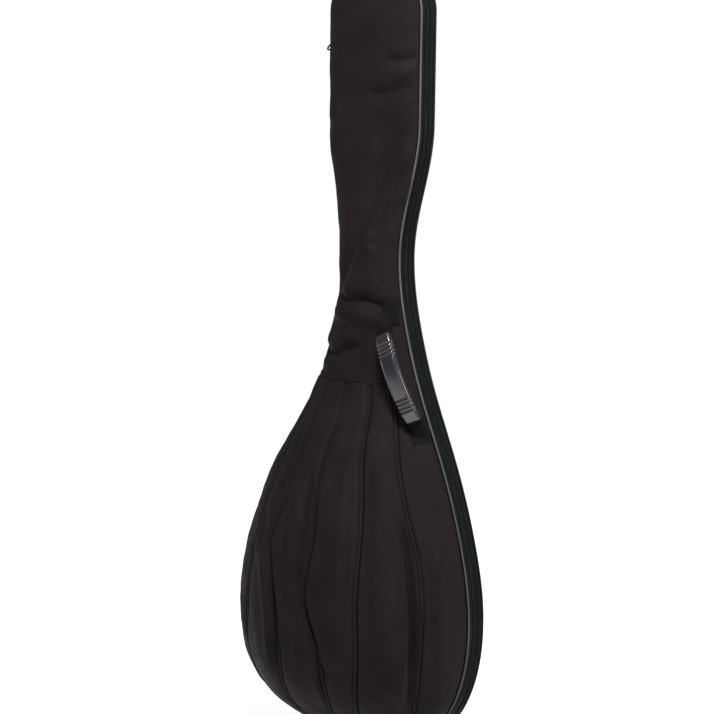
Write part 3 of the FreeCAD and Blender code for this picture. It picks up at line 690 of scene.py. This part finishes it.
def gore_shares(arc):
    """Shares across a gore, fine beside both seams, and how far the seams are drawn together."""
    edge = np.array(EDGE_COLUMNS) * MM
    scale = np.minimum(1.0, EDGE_SHARE * arc / edge[-1])[:, None]
    near = edge[None] * scale / arc[:, None]
    steps = np.linspace(0, 1, INNER_COLUMNS + 2)[1:-1][None]
    low = near[:, -1:]
    return np.hstack([near, low + (1 - 2 * low) * steps, 1 - near[:, ::-1]]), scale


def dip(gap, depth, width):
    """Cloth drawn down round a line. Depth and half width are in millimetres."""
    return -depth * MM * np.exp(-(gap / (width * MM)) ** 2)


def seam_dip(gap):
    """A tight groove on the right of a seam, a softer one on its left."""
    return dip(gap + 3.0 * MM, 3.0, 1.0) + dip(gap - 3.2 * MM, 1.4, 1.4) + dip(gap, 1.0, 2.4)


def rim_dip(gap):
    return dip(gap, 1.8, 2.2)


def gore(number):
    low = seam_angle(number, bowl_heights)
    wide = seam_angle(number + 1, bowl_heights) - low
    arc = per_degree(bowl_heights) * wide
    share, scale = gore_shares(arc)
    heights, angles = spread(bowl_heights, low[:, None] + wide[:, None] * share)
    gap = arc[:, None] * share / scale
    far_gap = arc[:, None] * (1 - share) / scale
    low_dip = rim_dip(gap) if number == 0 else seam_dip(gap)
    high_dip = rim_dip(far_gap) if number == GORES - 1 else seam_dip(-far_gap)
    crown = GORE_CROWN * np.sin(math.pi * share) ** 0.7 * fade(reach(DEPTH, heights), DEEP_ENOUGH)
    pucker = waves(back_points(heights, angles), SEAM_PUCKER)
    pucker = pucker * (np.exp(-gap / PUCKER_REACH) + np.exp(-far_gap / PUCKER_REACH))
    lift = crown + (low_dip + high_dip + pucker) * scale
    outer, _ = back_surface(heights, angles, lift, BOWL_FOLDS)
    inner, _ = back_surface(heights, angles, -GORE_THICK, BOWL_FOLDS)
    inner[..., 1] = np.minimum(inner[..., 1], RIM_Y)
    thing = padded_panel("gore_%d" % (number + 1), outer, inner, NYLON)
    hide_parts("bowl_gore_%d" % (number + 1))
    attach(thing, "shell")


def line_frames(path, normals):
    """A line on the cloth with its directions across the line and out of the cloth."""
    up = unit(normals)
    return path, unit(np.cross(up, unit(np.gradient(path, axis=0)))), up


def seam_line(number, offset, out):
    """A line beside a seam of the bowl, with frames."""
    heights = bowl_heights[SEAM_START:]
    angles = seam_angle(number, heights) + offset / np.maximum(per_degree(heights), 1e-4)
    grid = spread(heights, angles[:, None] + np.array([-0.5, 0, 0.5]))
    points, normals = back_surface(*grid, out, BOWL_FOLDS)
    return line_frames(points[:, 1], normals[:, 1])


def seam_band(number):
    path, side, up = seam_line(number, 0, 0.15 * MM)
    section = rounded_section(SEAM_BAND_WIDTH, 1.5 * MM, 0.6 * MM)
    taper = np.clip((path[:, 2] - TAIL) / END_FADE, 0.25, 1)
    scale = np.stack([taper, np.ones_like(taper)], axis=1)
    band = sweep("seam_band_%d" % number, path, side, up, section, BAND_NYLON, scale=scale)
    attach(band, "shell")
    rows = []
    # Two rows of topstitching on the band, then a near-black cord of thread beads sunk in the tight groove
    # beside the seam: painted shade that darkens the groove.
    for offset, out, length, pitch, radius in (
        (-1.5, 0.95, 3.0, 4.2, 0.3), (1.5, 0.95, 3.0, 4.2, 0.3), (-3.0, -1.6, 5.0, 5.2, 0.7),
    ):
        line, _, lifted = seam_line(number, offset * MM, out * MM)
        rows.append(stitches(line[STITCH_START:], lifted[STITCH_START:], length, pitch, radius))
    stitch_and_groove_shade = merged("seam_stitch_%d" % number, rows, THREAD)
    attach(stitch_and_groove_shade, "shell")


for number in range(GORES):
    gore(number)
for number in range(1, GORES):
    seam_band(number)


# Neck and head panel.

NECK_TOP = CROWN_END - 0.8 * MM
NECK_FOOT = BAND_HIGH - 1.0 * MM
NECK_OUT = 0.4 * MM
NECK_THICK = 5 * MM


def neck_panel():
    grid = spread(meridian_heights(NECK_FOOT, NECK_TOP, 330), np.linspace(0, 180, 91))
    outer, normals = back_surface(*grid, NECK_OUT, NECK_FOLDS)
    inner = outer - normals * NECK_THICK
    inner[..., 1] = np.minimum(inner[..., 1], RIM_Y)
    thing = padded_panel("neck_and_head_panel", outer, inner, NYLON)
    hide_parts("neck_panel")
    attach(thing, "shell")


def joint_seam():
    """Band over the seam between bowl and neck, with two rows of stitching."""
    angles = np.linspace(0.5, 179.5, 160)

    def line(height, out):
        points = back_points(*spread(height + np.array([-2, 0, 2]) * MM, angles))
        normals = grid_normals(points)
        return line_frames(points[1] + normals[1] * out, normals[1])

    path, side, up = line(BAND_MIDDLE, 0.5 * MM)
    section = rounded_section(BAND_HIGH - BAND_LOW + 1.5 * MM, 2.4 * MM, 0.9 * MM)
    band = sweep("joint_seam_band", path, side, up, section, BAND_NYLON)
    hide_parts("joint_band")
    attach(band, "shell")
    rows = []
    for edge in (-2.7 * MM, 2.7 * MM):
        row, _, lifted = line(BAND_MIDDLE + edge, 1.75 * MM)
        rows.append(stitches(row, lifted, 3.0, 4.3, 0.36))
    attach(merged("joint_seam_stitch", rows, THREAD), "shell")


neck_panel()
joint_seam()


# Side wall: piping, bands, zip and hinge cloth, all round the outline of the rim.

RIM_COUNT = 900
TEETH_COUNT = 1500
# Between these heights the piping thins out toward the foot, by this share.
SLIM_TOP = 0.5
SLIM_SPAN = 0.2
PIPING_SLIM = 0.35
TAPE_HALF = 0.35 * MM
TOOTH_PITCH = 1.7 * MM
TOOTH_REACH = FORWARD * 0.713 * MM
TOOTH_RINGS = ((0.0, 0.25), (0.2, 1.0), (0.8, 1.0), (1.0, 0.25))


def outline(out, at_y, count):
    """The rim outline moved out by a distance, as a closed run from the tail round by the right."""
    points = WIDTH[0] + WIDTH[1] * out
    points = points[points[:, 0] >= 0]
    run = run_along(points)
    right = at_run(points, run, np.linspace(0, run[-1], count // 2 + 1))
    right[0, 0] = right[-1, 0] = 0
    left = right[-2:0:-1] * np.array([-1, 1])
    return np.insert(np.vstack([right, left]), 1, at_y, axis=1)


def rim_path(out, at_y, count=RIM_COUNT):
    """A closed path round the rim, and its directions outward."""
    path = outline(out, at_y, count)
    along = unit(np.roll(path, -1, axis=0) - np.roll(path, 1, axis=0))
    return path, unit(np.cross(FORWARD, along))


def open_stretch(path):
    """The rim path without the hinge stretch, rolled so that it starts just past the hinge."""
    hinge = (path[:, 0] < 0) & (path[:, 2] > HINGE_LOW) & (path[:, 2] < HINGE_HIGH)
    inside = np.where(hinge)[0]
    order = np.concatenate([np.arange(inside[-1] + 1, len(path)), np.arange(0, inside[0])])
    return order, inside


def ring(name, node, body, out, at_y, section, material, wavy=False, slim=0.0):
    path, outward = rim_path(out, at_y)
    scale = np.repeat(1 - slim * fade(SLIM_TOP - path[:, 2], SLIM_SPAN), 2)
    if wavy:
        path = path + outward * waves(path, WALL_WAVE)[:, None]
    thing = sweep(name, path, outward, FORWARD, section, material, closed=True, scale=scale)
    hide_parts(node)
    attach(thing, body)


def pillow_section(width, thick, crown):
    """A band section along Y: flat inside, gently crowned outside."""
    points = []
    for share in np.linspace(0, 1, 9):
        points.append((crown * math.sin(math.pi * share) ** 0.6, -width / 2 + width * share))
    return points + [(-thick, width / 2), (-thick, -width / 2)]


def side_band(half, body):
    name = half + "_side_band"
    node = half + "_zip_band"
    width = box_width(node)
    middle = box_middle(node)
    section = pillow_section(width, 3.2 * MM, 0.9 * MM)
    ring(name, node, body, -0.4 * MM, middle, section, SIDE_NYLON, wavy=True)
    rows = []
    for edge in (-1, 1):
        path, outward = rim_path(0.35 * MM, middle + edge * (width / 2 - 1.5 * MM))
        rows.append(stitches(path, outward, 3.0, 4.4, 0.32, True))
    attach(merged(name + "_stitch", rows, THREAD), body)


def piping(name, node, body, flange_y, out, material):
    section = circle_section(1.4 * MM, 14)
    ring(name, node, body, out, flange_y, section, material, slim=PIPING_SLIM)


def zip_half(half, body):
    """Tape with its edge of teeth."""
    tape_node = half + "_zip_tape"
    coil_node = half + "_zip_coil"
    path, outward = rim_path(-1.1 * MM, box_middle(tape_node))
    order, _ = open_stretch(path)
    wide = (box_width(tape_node) + 1.2 * MM) / 2
    section = [(TAPE_HALF, -wide), (TAPE_HALF, wide), (-TAPE_HALF, wide), (-TAPE_HALF, -wide)]
    tape = sweep(tape_node, path[order], outward[order], FORWARD, section, TAPE)
    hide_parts(tape_node)
    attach(tape, body)
    path, outward = rim_path(-0.9 * MM, box_middle(coil_node), TEETH_COUNT)
    order, _ = open_stretch(path)
    marks, run, centre = evenly(path[order], TOOTH_PITCH)
    spots = at_run(centre, run, marks)
    outs = unit(at_run(outward[order], run, marks))
    along = np.cross(outs, FORWARD)
    vertices, faces = pegs(
        spots - TOOTH_REACH, spots + TOOTH_REACH, along, outs, 0.5 * MM, 1.0 * MM, TOOTH_RINGS, 6)
    teeth = mesh_object(half + "_zip_teeth", vertices, faces, COIL)
    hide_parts(coil_node)
    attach(teeth, body)


REAR_FLANGE_Y = RIM_Y + 0.4 * MM
FRONT_FLANGE_Y = LID_Y - 0.4 * MM
piping("rear_piping_bead", "rear_piping", "shell", REAR_FLANGE_Y, 2.6 * MM, PIPING)
piping("front_piping_bead", "front_piping", "lid", FRONT_FLANGE_Y, 1.8 * MM, DARK_PIPING)
side_band("rear", "shell")
side_band("front", "lid")
zip_half("rear", "shell")
zip_half("front", "lid")

HINGE_OVERLAP = 0.6 * MM
HINGE_BOW = 0.5 * MM
HINGE_SUNK = 0.2 * MM
HINGE_THICK = 1.6 * MM


def hinge_cloth():
    """Uncut cloth at the left of the bowl, along the line where the lid swings: one still panel with a
    slight outward bow.
    """
    path, outward = rim_path(0, PART_Y)
    _, inside = open_stretch(path)
    rear = node_low("rear_hinge_strip").y - HINGE_OVERLAP
    front = node_high("front_hinge_strip").y + HINGE_OVERLAP
    outer = []
    for y in np.linspace(rear, front, 14):
        out = HINGE_BOW * math.sin(math.pi * (y - rear) / (front - rear)) - HINGE_SUNK
        outer.append(rim_path(out, y)[0][inside])
    outer = np.array(outer)
    inner = outer - outward[inside][None] * HINGE_THICK
    cloth = padded_panel("hinge_cloth", outer[::-1], inner[::-1], SIDE_NYLON)
    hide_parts("rear_hinge_strip", "front_hinge_strip")
    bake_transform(cloth)


hinge_cloth()


# Lid: padded front panel, and the linings.

DISC_COUNT = 420
SPINE_LOW = 0.17
SPINE_HIGH = 1.0
STILL_ROWS = 4
# Rows of the lid's edge: how far in, in millimetres, and the share of its thickness.
LID_EDGE = ((0.4, 0.0), (0.3, 0.25), (0.6, 0.55), (1.6, 0.8), (3.2, 0.93), (6, 0.97), (12, 0.99), (24, 1.0))
LINING_EDGE = ((1.4, 0), (3, 0), (8, 0), (20, 0))
LINING_THICK = 0.9 * MM
LINING_FOLD_SHARE = 1.1
LINING_OVERLAP = 0.5 * MM


def filled_disc(name, at_y, edge, thick, centre_lift, material):
    """A panel from rows of a closed outline, drawn together toward the middle line of the bag."""
    rows = [outline(-inset * MM, at_y + thick * share, DISC_COUNT) for inset, share in edge]
    last = rows[-1]
    for share in (0.2, 0.4, 0.6, 0.8, 1.0):
        spine = last.copy()
        height = np.clip(last[:, 2], SPINE_LOW, SPINE_HIGH)
        spine[:, 0] = last[:, 0] * (1 - share)
        spine[:, 2] = last[:, 2] + (height - last[:, 2]) * share
        spine[:, 1] = last[:, 1] + centre_lift * math.sin(math.pi / 2 * share)
        rows.append(spine)
    points = np.array(rows)
    still = fade(np.arange(len(rows)), STILL_ROWS)[:, None]
    points[..., 1] += waves(points, LID_WAVE) * still * math.copysign(1, centre_lift)
    faces = quads(len(rows), DISC_COUNT, closed_columns=True)
    if centre_lift < 0:
        faces = [tuple(reversed(f)) for f in faces]
    thing = mesh_object(name, points.reshape(-1, 3), faces, material)
    lay_weave(thing, points[..., [0, 2]].reshape(-1, 2))
    return thing


def lid_panel():
    thick = LID_FRONT_Y - LID_Y
    panel = filled_disc("lid_front_panel", LID_Y, LID_EDGE, thick, 0.6 * MM, LID_NYLON)
    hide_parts("lid_cloth", "lid_foam")
    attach(panel, "lid")
    at_y = LID_Y + 0.2 * MM
    lining = filled_disc("lid_lining_cloth", at_y, LINING_EDGE, 0, -0.4 * MM, LINING)
    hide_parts("lid_lining")
    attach(lining, "lid")


def back_lining(name, node, low, high, inset, rows, columns, folds):
    grid = spread(meridian_heights(low, high, rows), np.linspace(0, 180, columns))
    outer = back_points(*grid, -inset)
    normals = grid_normals(outer)
    ripple = waves(outer, LINING_WAVE) - LINING_WAVE[0]
    ripple += LINING_FOLD_SHARE * np.minimum(fold_lift(folds, *grid), 0)
    outer = outer + normals * ripple[..., None]
    inner = outer - normals * LINING_THICK
    inner[..., 1] = np.minimum(inner[..., 1], RIM_Y)
    thing = padded_panel(name, outer, inner, LINING)
    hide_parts(node)
    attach(thing, "shell")


lid_panel()
back_lining("bowl_lining_cloth", "bowl_lining", 15 * MM, BAND_MIDDLE + LINING_OVERLAP,
            8.6 * MM, 170, 130, BOWL_FOLDS)
back_lining("neck_lining_cloth", "neck_lining", BAND_MIDDLE - LINING_OVERLAP, 1.062,
            6.9 * MM, 190, 70, NECK_FOLDS)


# Carry handle: rubber grip with grooves, webbing that runs into two stitched patches.

SWING = joint("handle_swing")
UPPER_AXIS = np.array(SWING["pos_m"])
ALONG = -unit(np.array(SWING["axis"]))
LOWER_AXIS_HEIGHT = 438 * MM
SPAN = (LOWER_AXIS_HEIGHT - UPPER_AXIS[2]) / ALONG[2]
OUTWARD = unit(np.cross(ALONG, -FORWARD))
OUTWARD = OUTWARD * np.sign(OUTWARD[0])
BACKWARD = np.cross(ALONG, OUTWARD)
BACKWARD = -BACKWARD * np.sign(BACKWARD[1])
LEAN = math.radians(15)
RISE = BACKWARD * math.cos(LEAN) + OUTWARD * math.sin(LEAN)
SIDE = np.cross(ALONG, RISE)
GRIP_END_RUN = 21 * MM
GRIP_END_RISE = 17 * MM
GRIP_RISE = 29 * MM
GRIP_WIDTH = 24 * MM
GRIP_THICK = 12 * MM
GRIP_CORNER = 4.6 * MM
GROOVES = 4
GROOVE_START = 16 * MM
GROOVE_PITCH = 5.6 * MM
GROOVE_HALF = 1.2 * MM
GROOVE_DEPTH = 0.42
RIB_START = 37 * MM
RIB_SHARE = 0.36
RIB_RISE = 5.4 * MM
RIB_RADIUS = 0.9 * MM


def handle_point(run, rise):
    return UPPER_AXIS + ALONG * run + RISE * rise


def arch_rise(run):
    """Height of the grip's middle line above the swing axis."""
    half = SPAN / 2
    reach_half = half - GRIP_END_RUN
    drop = GRIP_RISE - GRIP_END_RISE
    radius = (reach_half ** 2 + drop ** 2) / (2 * drop)
    away = np.clip(np.abs(run - half), 0, reach_half)
    return GRIP_RISE - radius + np.sqrt(radius ** 2 - away ** 2)


def handle_grip():
    runs = np.linspace(GRIP_END_RUN, SPAN - GRIP_END_RUN, 220)
    path = handle_point(runs[:, None], arch_rise(runs)[:, None])
    up = unit(np.cross(unit(np.gradient(path, axis=0)), SIDE))
    up *= np.sign(up @ RISE)[:, None]
    from_end = np.minimum(runs - runs[0], runs[-1] - runs)
    groove = 0
    for number in range(GROOVES):
        centre = GROOVE_START + GROOVE_PITCH * number
        groove = np.maximum(groove, np.exp(-((from_end - centre) / GROOVE_HALF) ** 4))
    swell = 0.78 + 0.22 * fade(from_end, 22 * MM) ** 0.6
    tip = fade(from_end, 1.6 * MM) ** 0.4
    wide = (0.9 + 0.1 * fade(from_end, 15 * MM)) * (1 - 0.05 * groove) * (0.82 + 0.18 * tip)
    thick = swell * (1 - GROOVE_DEPTH * groove) * (0.6 + 0.4 * tip)
    section = rounded_section(GRIP_WIDTH, GRIP_THICK, GRIP_CORNER, 6)
    scale = np.stack([wide, thick], axis=1)
    grip = sweep("grip", path, SIDE, up, section, RUBBER, scale=scale)
    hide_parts("handle_grip")
    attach(grip, "handle")
    keep = from_end > RIB_START
    ribs = []
    for edge in (-GRIP_WIDTH * RIB_SHARE, GRIP_WIDTH * RIB_SHARE):
        line = path + SIDE * (edge * wide)[:, None] + up * (RIB_RISE * thick)[:, None]
        ribs.append(swept(line[keep], SIDE, up[keep], circle_section(RIB_RADIUS, 8)))
    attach(merged("grip_edge_ribs", ribs, RUBBER), "handle")


def flank_angle(height, behind):
    """Angle on the back at a height and a distance behind the rim, in degrees."""
    return math.degrees(math.asin(min(1.0, behind / float(reach(DEPTH, height)))))


def bezier(control, share):
    points = control.copy()
    while len(points) > 1:
        points = points[:-1] + (points[1:] - points[:-1]) * share
    return points[0]


def webbing(name, node, end_run, toward, patch_height, patch_behind):
    """Webbing from inside the end of the grip down onto its patch, bending at the swing axis."""
    eye = handle_point(end_run, 0)
    mouth_run = end_run + toward * (GRIP_END_RUN + 3 * MM)
    mouth = handle_point(mouth_run, GRIP_END_RISE)
    lead = handle_point(mouth_run - toward * 6 * MM, GRIP_END_RISE - 3 * MM)
    angle = flank_angle(patch_height, patch_behind)
    spot = back_points(np.array([[patch_height]]), np.array([[angle]]), 3.6 * MM)[0, 0]
    control = np.array([mouth, lead, eye, spot, spot + (spot - eye) * 0.3])
    steps = np.linspace(0, 1, 40)
    path = np.array([bezier(control, s) for s in steps])
    along = unit(np.gradient(path, axis=0))
    out_of_back = np.array([math.cos(math.radians(angle)), -math.sin(math.radians(angle)), 0])
    flat_side = unit(np.cross(along[-1], out_of_back))
    if flat_side @ SIDE < 0:
        flat_side = -flat_side
    up = unit(np.cross(along, unit(np.array([SIDE * (1 - s) + flat_side * s for s in steps]))))
    section = rounded_section(19 * MM, 2.2 * MM, 0.8 * MM)
    strap = sweep(name, path, unit(np.cross(up, along)), up, section, WEBBING)
    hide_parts(node)
    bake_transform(strap)


PATCH_CELLS = 21
PATCH_SEAM = 0.4
PATCH_THICK = 2.6 * MM
FLAT_CROWN = 0.6 * MM


def anchor_patch(name, node, height, behind, wide, tall, tilt):
    """A square of cloth sewn round its edge and across, following the flank."""
    shares = np.linspace(-0.5, 0.5, PATCH_CELLS + 1)
    across, up = np.meshgrid(shares, shares)
    sideways = across * wide * math.cos(tilt) - up * tall * math.sin(tilt)
    heights = height + (across * wide * math.sin(tilt) + up * tall * math.cos(tilt))
    points = back_points(heights, flank_angle(height, behind) + sideways / per_degree(heights))
    normals = grid_normals(points)
    from_edge = 0.5 - np.maximum(np.abs(across), np.abs(up))
    crown = GORE_CROWN * 0.9 if height < BAND_LOW else FLAT_CROWN
    lift = crown + (1.0 + 0.9 * fade(from_edge, 0.08) ** 0.5) * MM
    outer = points + normals * lift[..., None]
    inner = points + normals * (lift - PATCH_THICK)[..., None]
    patch = padded_panel(name, outer, inner, PATCH)
    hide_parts(node)
    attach(patch, "shell")
    corners = [(x * PATCH_SEAM, y * PATCH_SEAM) for x, y in ((-1, -1), (1, -1), (1, 1), (-1, 1))]
    steps = np.linspace(0, 1, 24)
    rows = []
    for start, finish in ((0, 1), (1, 2), (2, 3), (3, 0), (0, 2), (1, 3)):
        (x0, y0), (x1, y1) = corners[start], corners[finish]
        column = (x0 + (x1 - x0) * steps + 0.5) * PATCH_CELLS
        row = (y0 + (y1 - y0) * steps + 0.5) * PATCH_CELLS
        c = column.astype(int)
        r = row.astype(int)
        over = (column - c)[:, None]
        rise = (row - r)[:, None]
        line = (outer[r, c] * (1 - over) + outer[r, c + 1] * over) * (1 - rise)
        line = line + (outer[r + 1, c] * (1 - over) + outer[r + 1, c + 1] * over) * rise
        rows.append(stitches(line + normals[r, c] * 0.15 * MM, normals[r, c], 2.4, 3.4, 0.36))
    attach(merged(name + "_stitch", rows, THREAD), "shell")


handle_grip()
anchor_patch("upper_patch", "upper_anchor_patch", height=604 * MM, behind=16.5 * MM,
             wide=24 * MM, tall=40 * MM, tilt=0.1)
anchor_patch("lower_patch", "lower_anchor_patch", height=440 * MM, behind=21 * MM,
             wide=34 * MM, tall=34 * MM, tilt=-0.15)
webbing("upper_webbing", "webbing_end_upper", 0, 1, patch_height=600 * MM, patch_behind=22 * MM)
webbing("lower_webbing", "webbing_end_lower", SPAN, -1, patch_height=432 * MM, patch_behind=21 * MM)


# Zip sliders and pulls.

PULL_LENGTH = 31 * MM
PULL_NECK = 5.2 * MM
PULL_NECK_HALF = 2.7 * MM
PULL_RADIUS = 5.6 * MM
PULL_HOLE = 3.9 * MM
PULL_MIDDLE = PULL_RADIUS - PULL_LENGTH


def pull_curve(name):
    """Outline of a pull with its hole, hanging down from the origin."""
    curve = bpy.data.curves.new(name, "CURVE")
    curve.dimensions = "2D"
    curve.fill_mode = "BOTH"
    curve.extrude = 0.65 * MM
    curve.bevel_depth = 0.3 * MM
    curve.bevel_resolution = 2
    outer = [(-PULL_NECK_HALF, -PULL_NECK), (PULL_NECK_HALF, -PULL_NECK)]
    for i in range(17):
        turn = math.radians(15 - 210 * i / 16)
        outer.append((PULL_RADIUS * math.cos(turn), PULL_MIDDLE + PULL_RADIUS * math.sin(turn)))
    hole = [(x, PULL_MIDDLE + y) for x, y in circle_section(PULL_HOLE, 28)]
    for run in (outer, hole):
        spline = curve.splines.new("POLY")
        spline.points.add(len(run) - 1)
        for point, (x, y) in zip(spline.points, run):
            point.co = (x, y, 0, 1)
        spline.use_cyclic_u = True
    return curve


def pull_tab(end, angle):
    """A pull with its metal ring and shackle, made hanging down and then turned into place."""
    name = end + "_pull_tab"
    node = body = "pull_" + end
    holder = new_object(name + "_curve", pull_curve(name))
    bpy.context.view_layer.update()
    mesh = bpy.data.meshes.new_from_object(holder.evaluated_get(bpy.context.evaluated_depsgraph_get()))
    bpy.data.objects.remove(holder)
    upright = Matrix(((0, 0, 1, 0), (1, 0, 0, 0), (0, 1, 0, 0), (0, 0, 0, 1)))
    origin = Vector(joint(node + "_swing")["pos_m"])
    place = Matrix.Translation(origin) @ Matrix.Rotation(math.radians(angle), 4, "Y")
    mesh.transform(place @ upright)
    mesh.materials.clear()
    mesh.materials.append(PULL_RUBBER)
    tab = new_object(name, mesh)
    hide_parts(node)
    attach(tab, body)
    rotate = np.array(place.to_3x3())

    def placed(points):
        return np.array(points) @ rotate.T + np.array(place.translation)

    out = rotate[:, 0]
    turns = np.linspace(0, 2 * math.pi, 36, endpoint=False)
    circle = np.stack([0 * turns, np.cos(turns), np.sin(turns)], axis=1)
    path = placed(circle * (PULL_HOLE + 0.35 * MM) + np.array([0, 0, PULL_MIDDLE]))
    wire = circle_section(0.8 * MM, 8)
    side = circle @ rotate.T
    loop = sweep(name + "_ring", path, side, out, wire, RING_METAL, closed=True)
    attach(loop, body)
    bar = placed([(0, y * MM, 0) for y in (-2.7, -1.35, 0, 1.35, 2.7)])
    parts = [swept(bar, out, rotate[:, 2], circle_section(0.85 * MM, 8))]
    section = rounded_section(1.8 * MM, 1.0 * MM, 0.3 * MM)
    for y in (-2.15, 2.15):
        cheek = placed([(0, y * MM, z * MM) for z in (0.8, -1.5, -4.0, -6.4)])
        parts.append(swept(cheek, out, FORWARD, section))
    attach(merged(name + "_shackle", parts, SLIDER_METAL), body)


pull_tab("upper", 42)
pull_tab("lower", 0)
for node in ("slider_upper", "slider_lower"):
    for place in frame["nodes"][node].material_slots:
        place.material = SLIDER_METAL


# Floor, light and camera.

FLOOR_HALF = 30.0
FLOOR_GLOW = 0.89
AMBIENT = 0.15


def white_floor():
    """A floor that the camera sees white and that still takes shadows."""
    mesh = bpy.data.meshes.new("floor")
    corners = [(x * FLOOR_HALF, y * FLOOR_HALF, 0) for x, y in ((-1, -1), (1, -1), (1, 1), (-1, 1))]
    mesh.from_pydata(corners, [], [(0, 1, 2, 3)])
    floor = new_object("floor", mesh)
    shader = Shader("pale_floor")
    shader.set(shader.base, Base_Color=(0.8, 0.8, 0.8, 1), Roughness=0.9, Specular_IOR_Level=0.1)
    glow = shader.add("ShaderNodeEmission", Strength=FLOOR_GLOW)
    black = shader.add("ShaderNodeEmission", Strength=0.0)
    pick = shader.add("ShaderNodeMixShader")
    total = shader.add("ShaderNodeAddShader")
    shader.link(shader.seen("Camera", "Glossy"), pick.inputs["Fac"])
    shader.link(black.outputs["Emission"], pick.inputs[1])
    shader.link(glow.outputs["Emission"], pick.inputs[2])
    shader.link(shader.base.outputs["BSDF"], total.inputs[0])
    shader.link(pick.outputs["Shader"], total.inputs[1])
    shader.link(total.outputs["Shader"], shader.nodes["Material Output"].inputs["Surface"])
    mesh.materials.append(shader.owner)


def world_light():
    """A world that the camera sees white and that lights the bag only a little."""
    shader = Shader("studio", "worlds", "Background")
    bpy.context.scene.world = shader.owner
    shader.set(shader.base, Color=(1, 1, 1, 1))
    strength = shader.add("ShaderNodeMapRange", To_Min=AMBIENT, To_Max=1.0)
    shader.link(shader.seen("Camera", "Transmission"), strength.inputs["Value"])
    shader.link(strength.outputs["Result"], shader.base.inputs["Strength"])


AZIMUTH = math.radians(42.0)
ELEVATION = math.radians(5.9)
ROLL = math.radians(0.87)
DISTANCE = 4.1
SHOWN_WIDTH = 1.001
SENSOR_WIDTH = 36
RIGHT = Vector((math.cos(AZIMUTH), math.sin(AZIMUTH), 0))
BACK = Vector((
    math.sin(AZIMUTH) * math.cos(ELEVATION),
    -math.cos(AZIMUTH) * math.cos(ELEVATION),
    math.sin(ELEVATION),
))
AIM = Vector((0.0, RIM_Y, 0.5347)) - RIGHT * 0.0195


def add_camera():
    data = bpy.data.cameras.new("camera")
    camera = new_object("camera", data)
    camera.location = AIM + BACK * DISTANCE
    turn = (-BACK).to_track_quat("-Z", "Y").to_matrix() @ Matrix.Rotation(ROLL, 3, "Z")
    camera.rotation_euler = turn.to_euler()
    data.sensor_width = SENSOR_WIDTH
    data.lens = SENSOR_WIDTH * DISTANCE / SHOWN_WIDTH
    bpy.context.scene.camera = camera


def area_light(name, back, right, up, size, power):
    """A round lamp turned to the bag. Its place is counted from the point that the camera looks at."""
    light = bpy.data.lights.new(name, "AREA")
    light.shape = "DISK"
    light.size = size
    light.energy = power
    lamp = new_object(name, light)
    lamp.location = AIM + BACK * back + RIGHT * right + Vector((0, 0, up))
    lamp.rotation_euler = (AIM - lamp.location).to_track_quat("-Z", "Y").to_euler()


add_camera()
white_floor()
world_light()
area_light("key", back=1.4, right=0.05, up=1.75, size=0.6, power=60)
area_light("rim", back=0.6, right=1.9, up=0.7, size=0.8, power=13)
bpy.context.scene.view_settings.view_transform = "Standard"
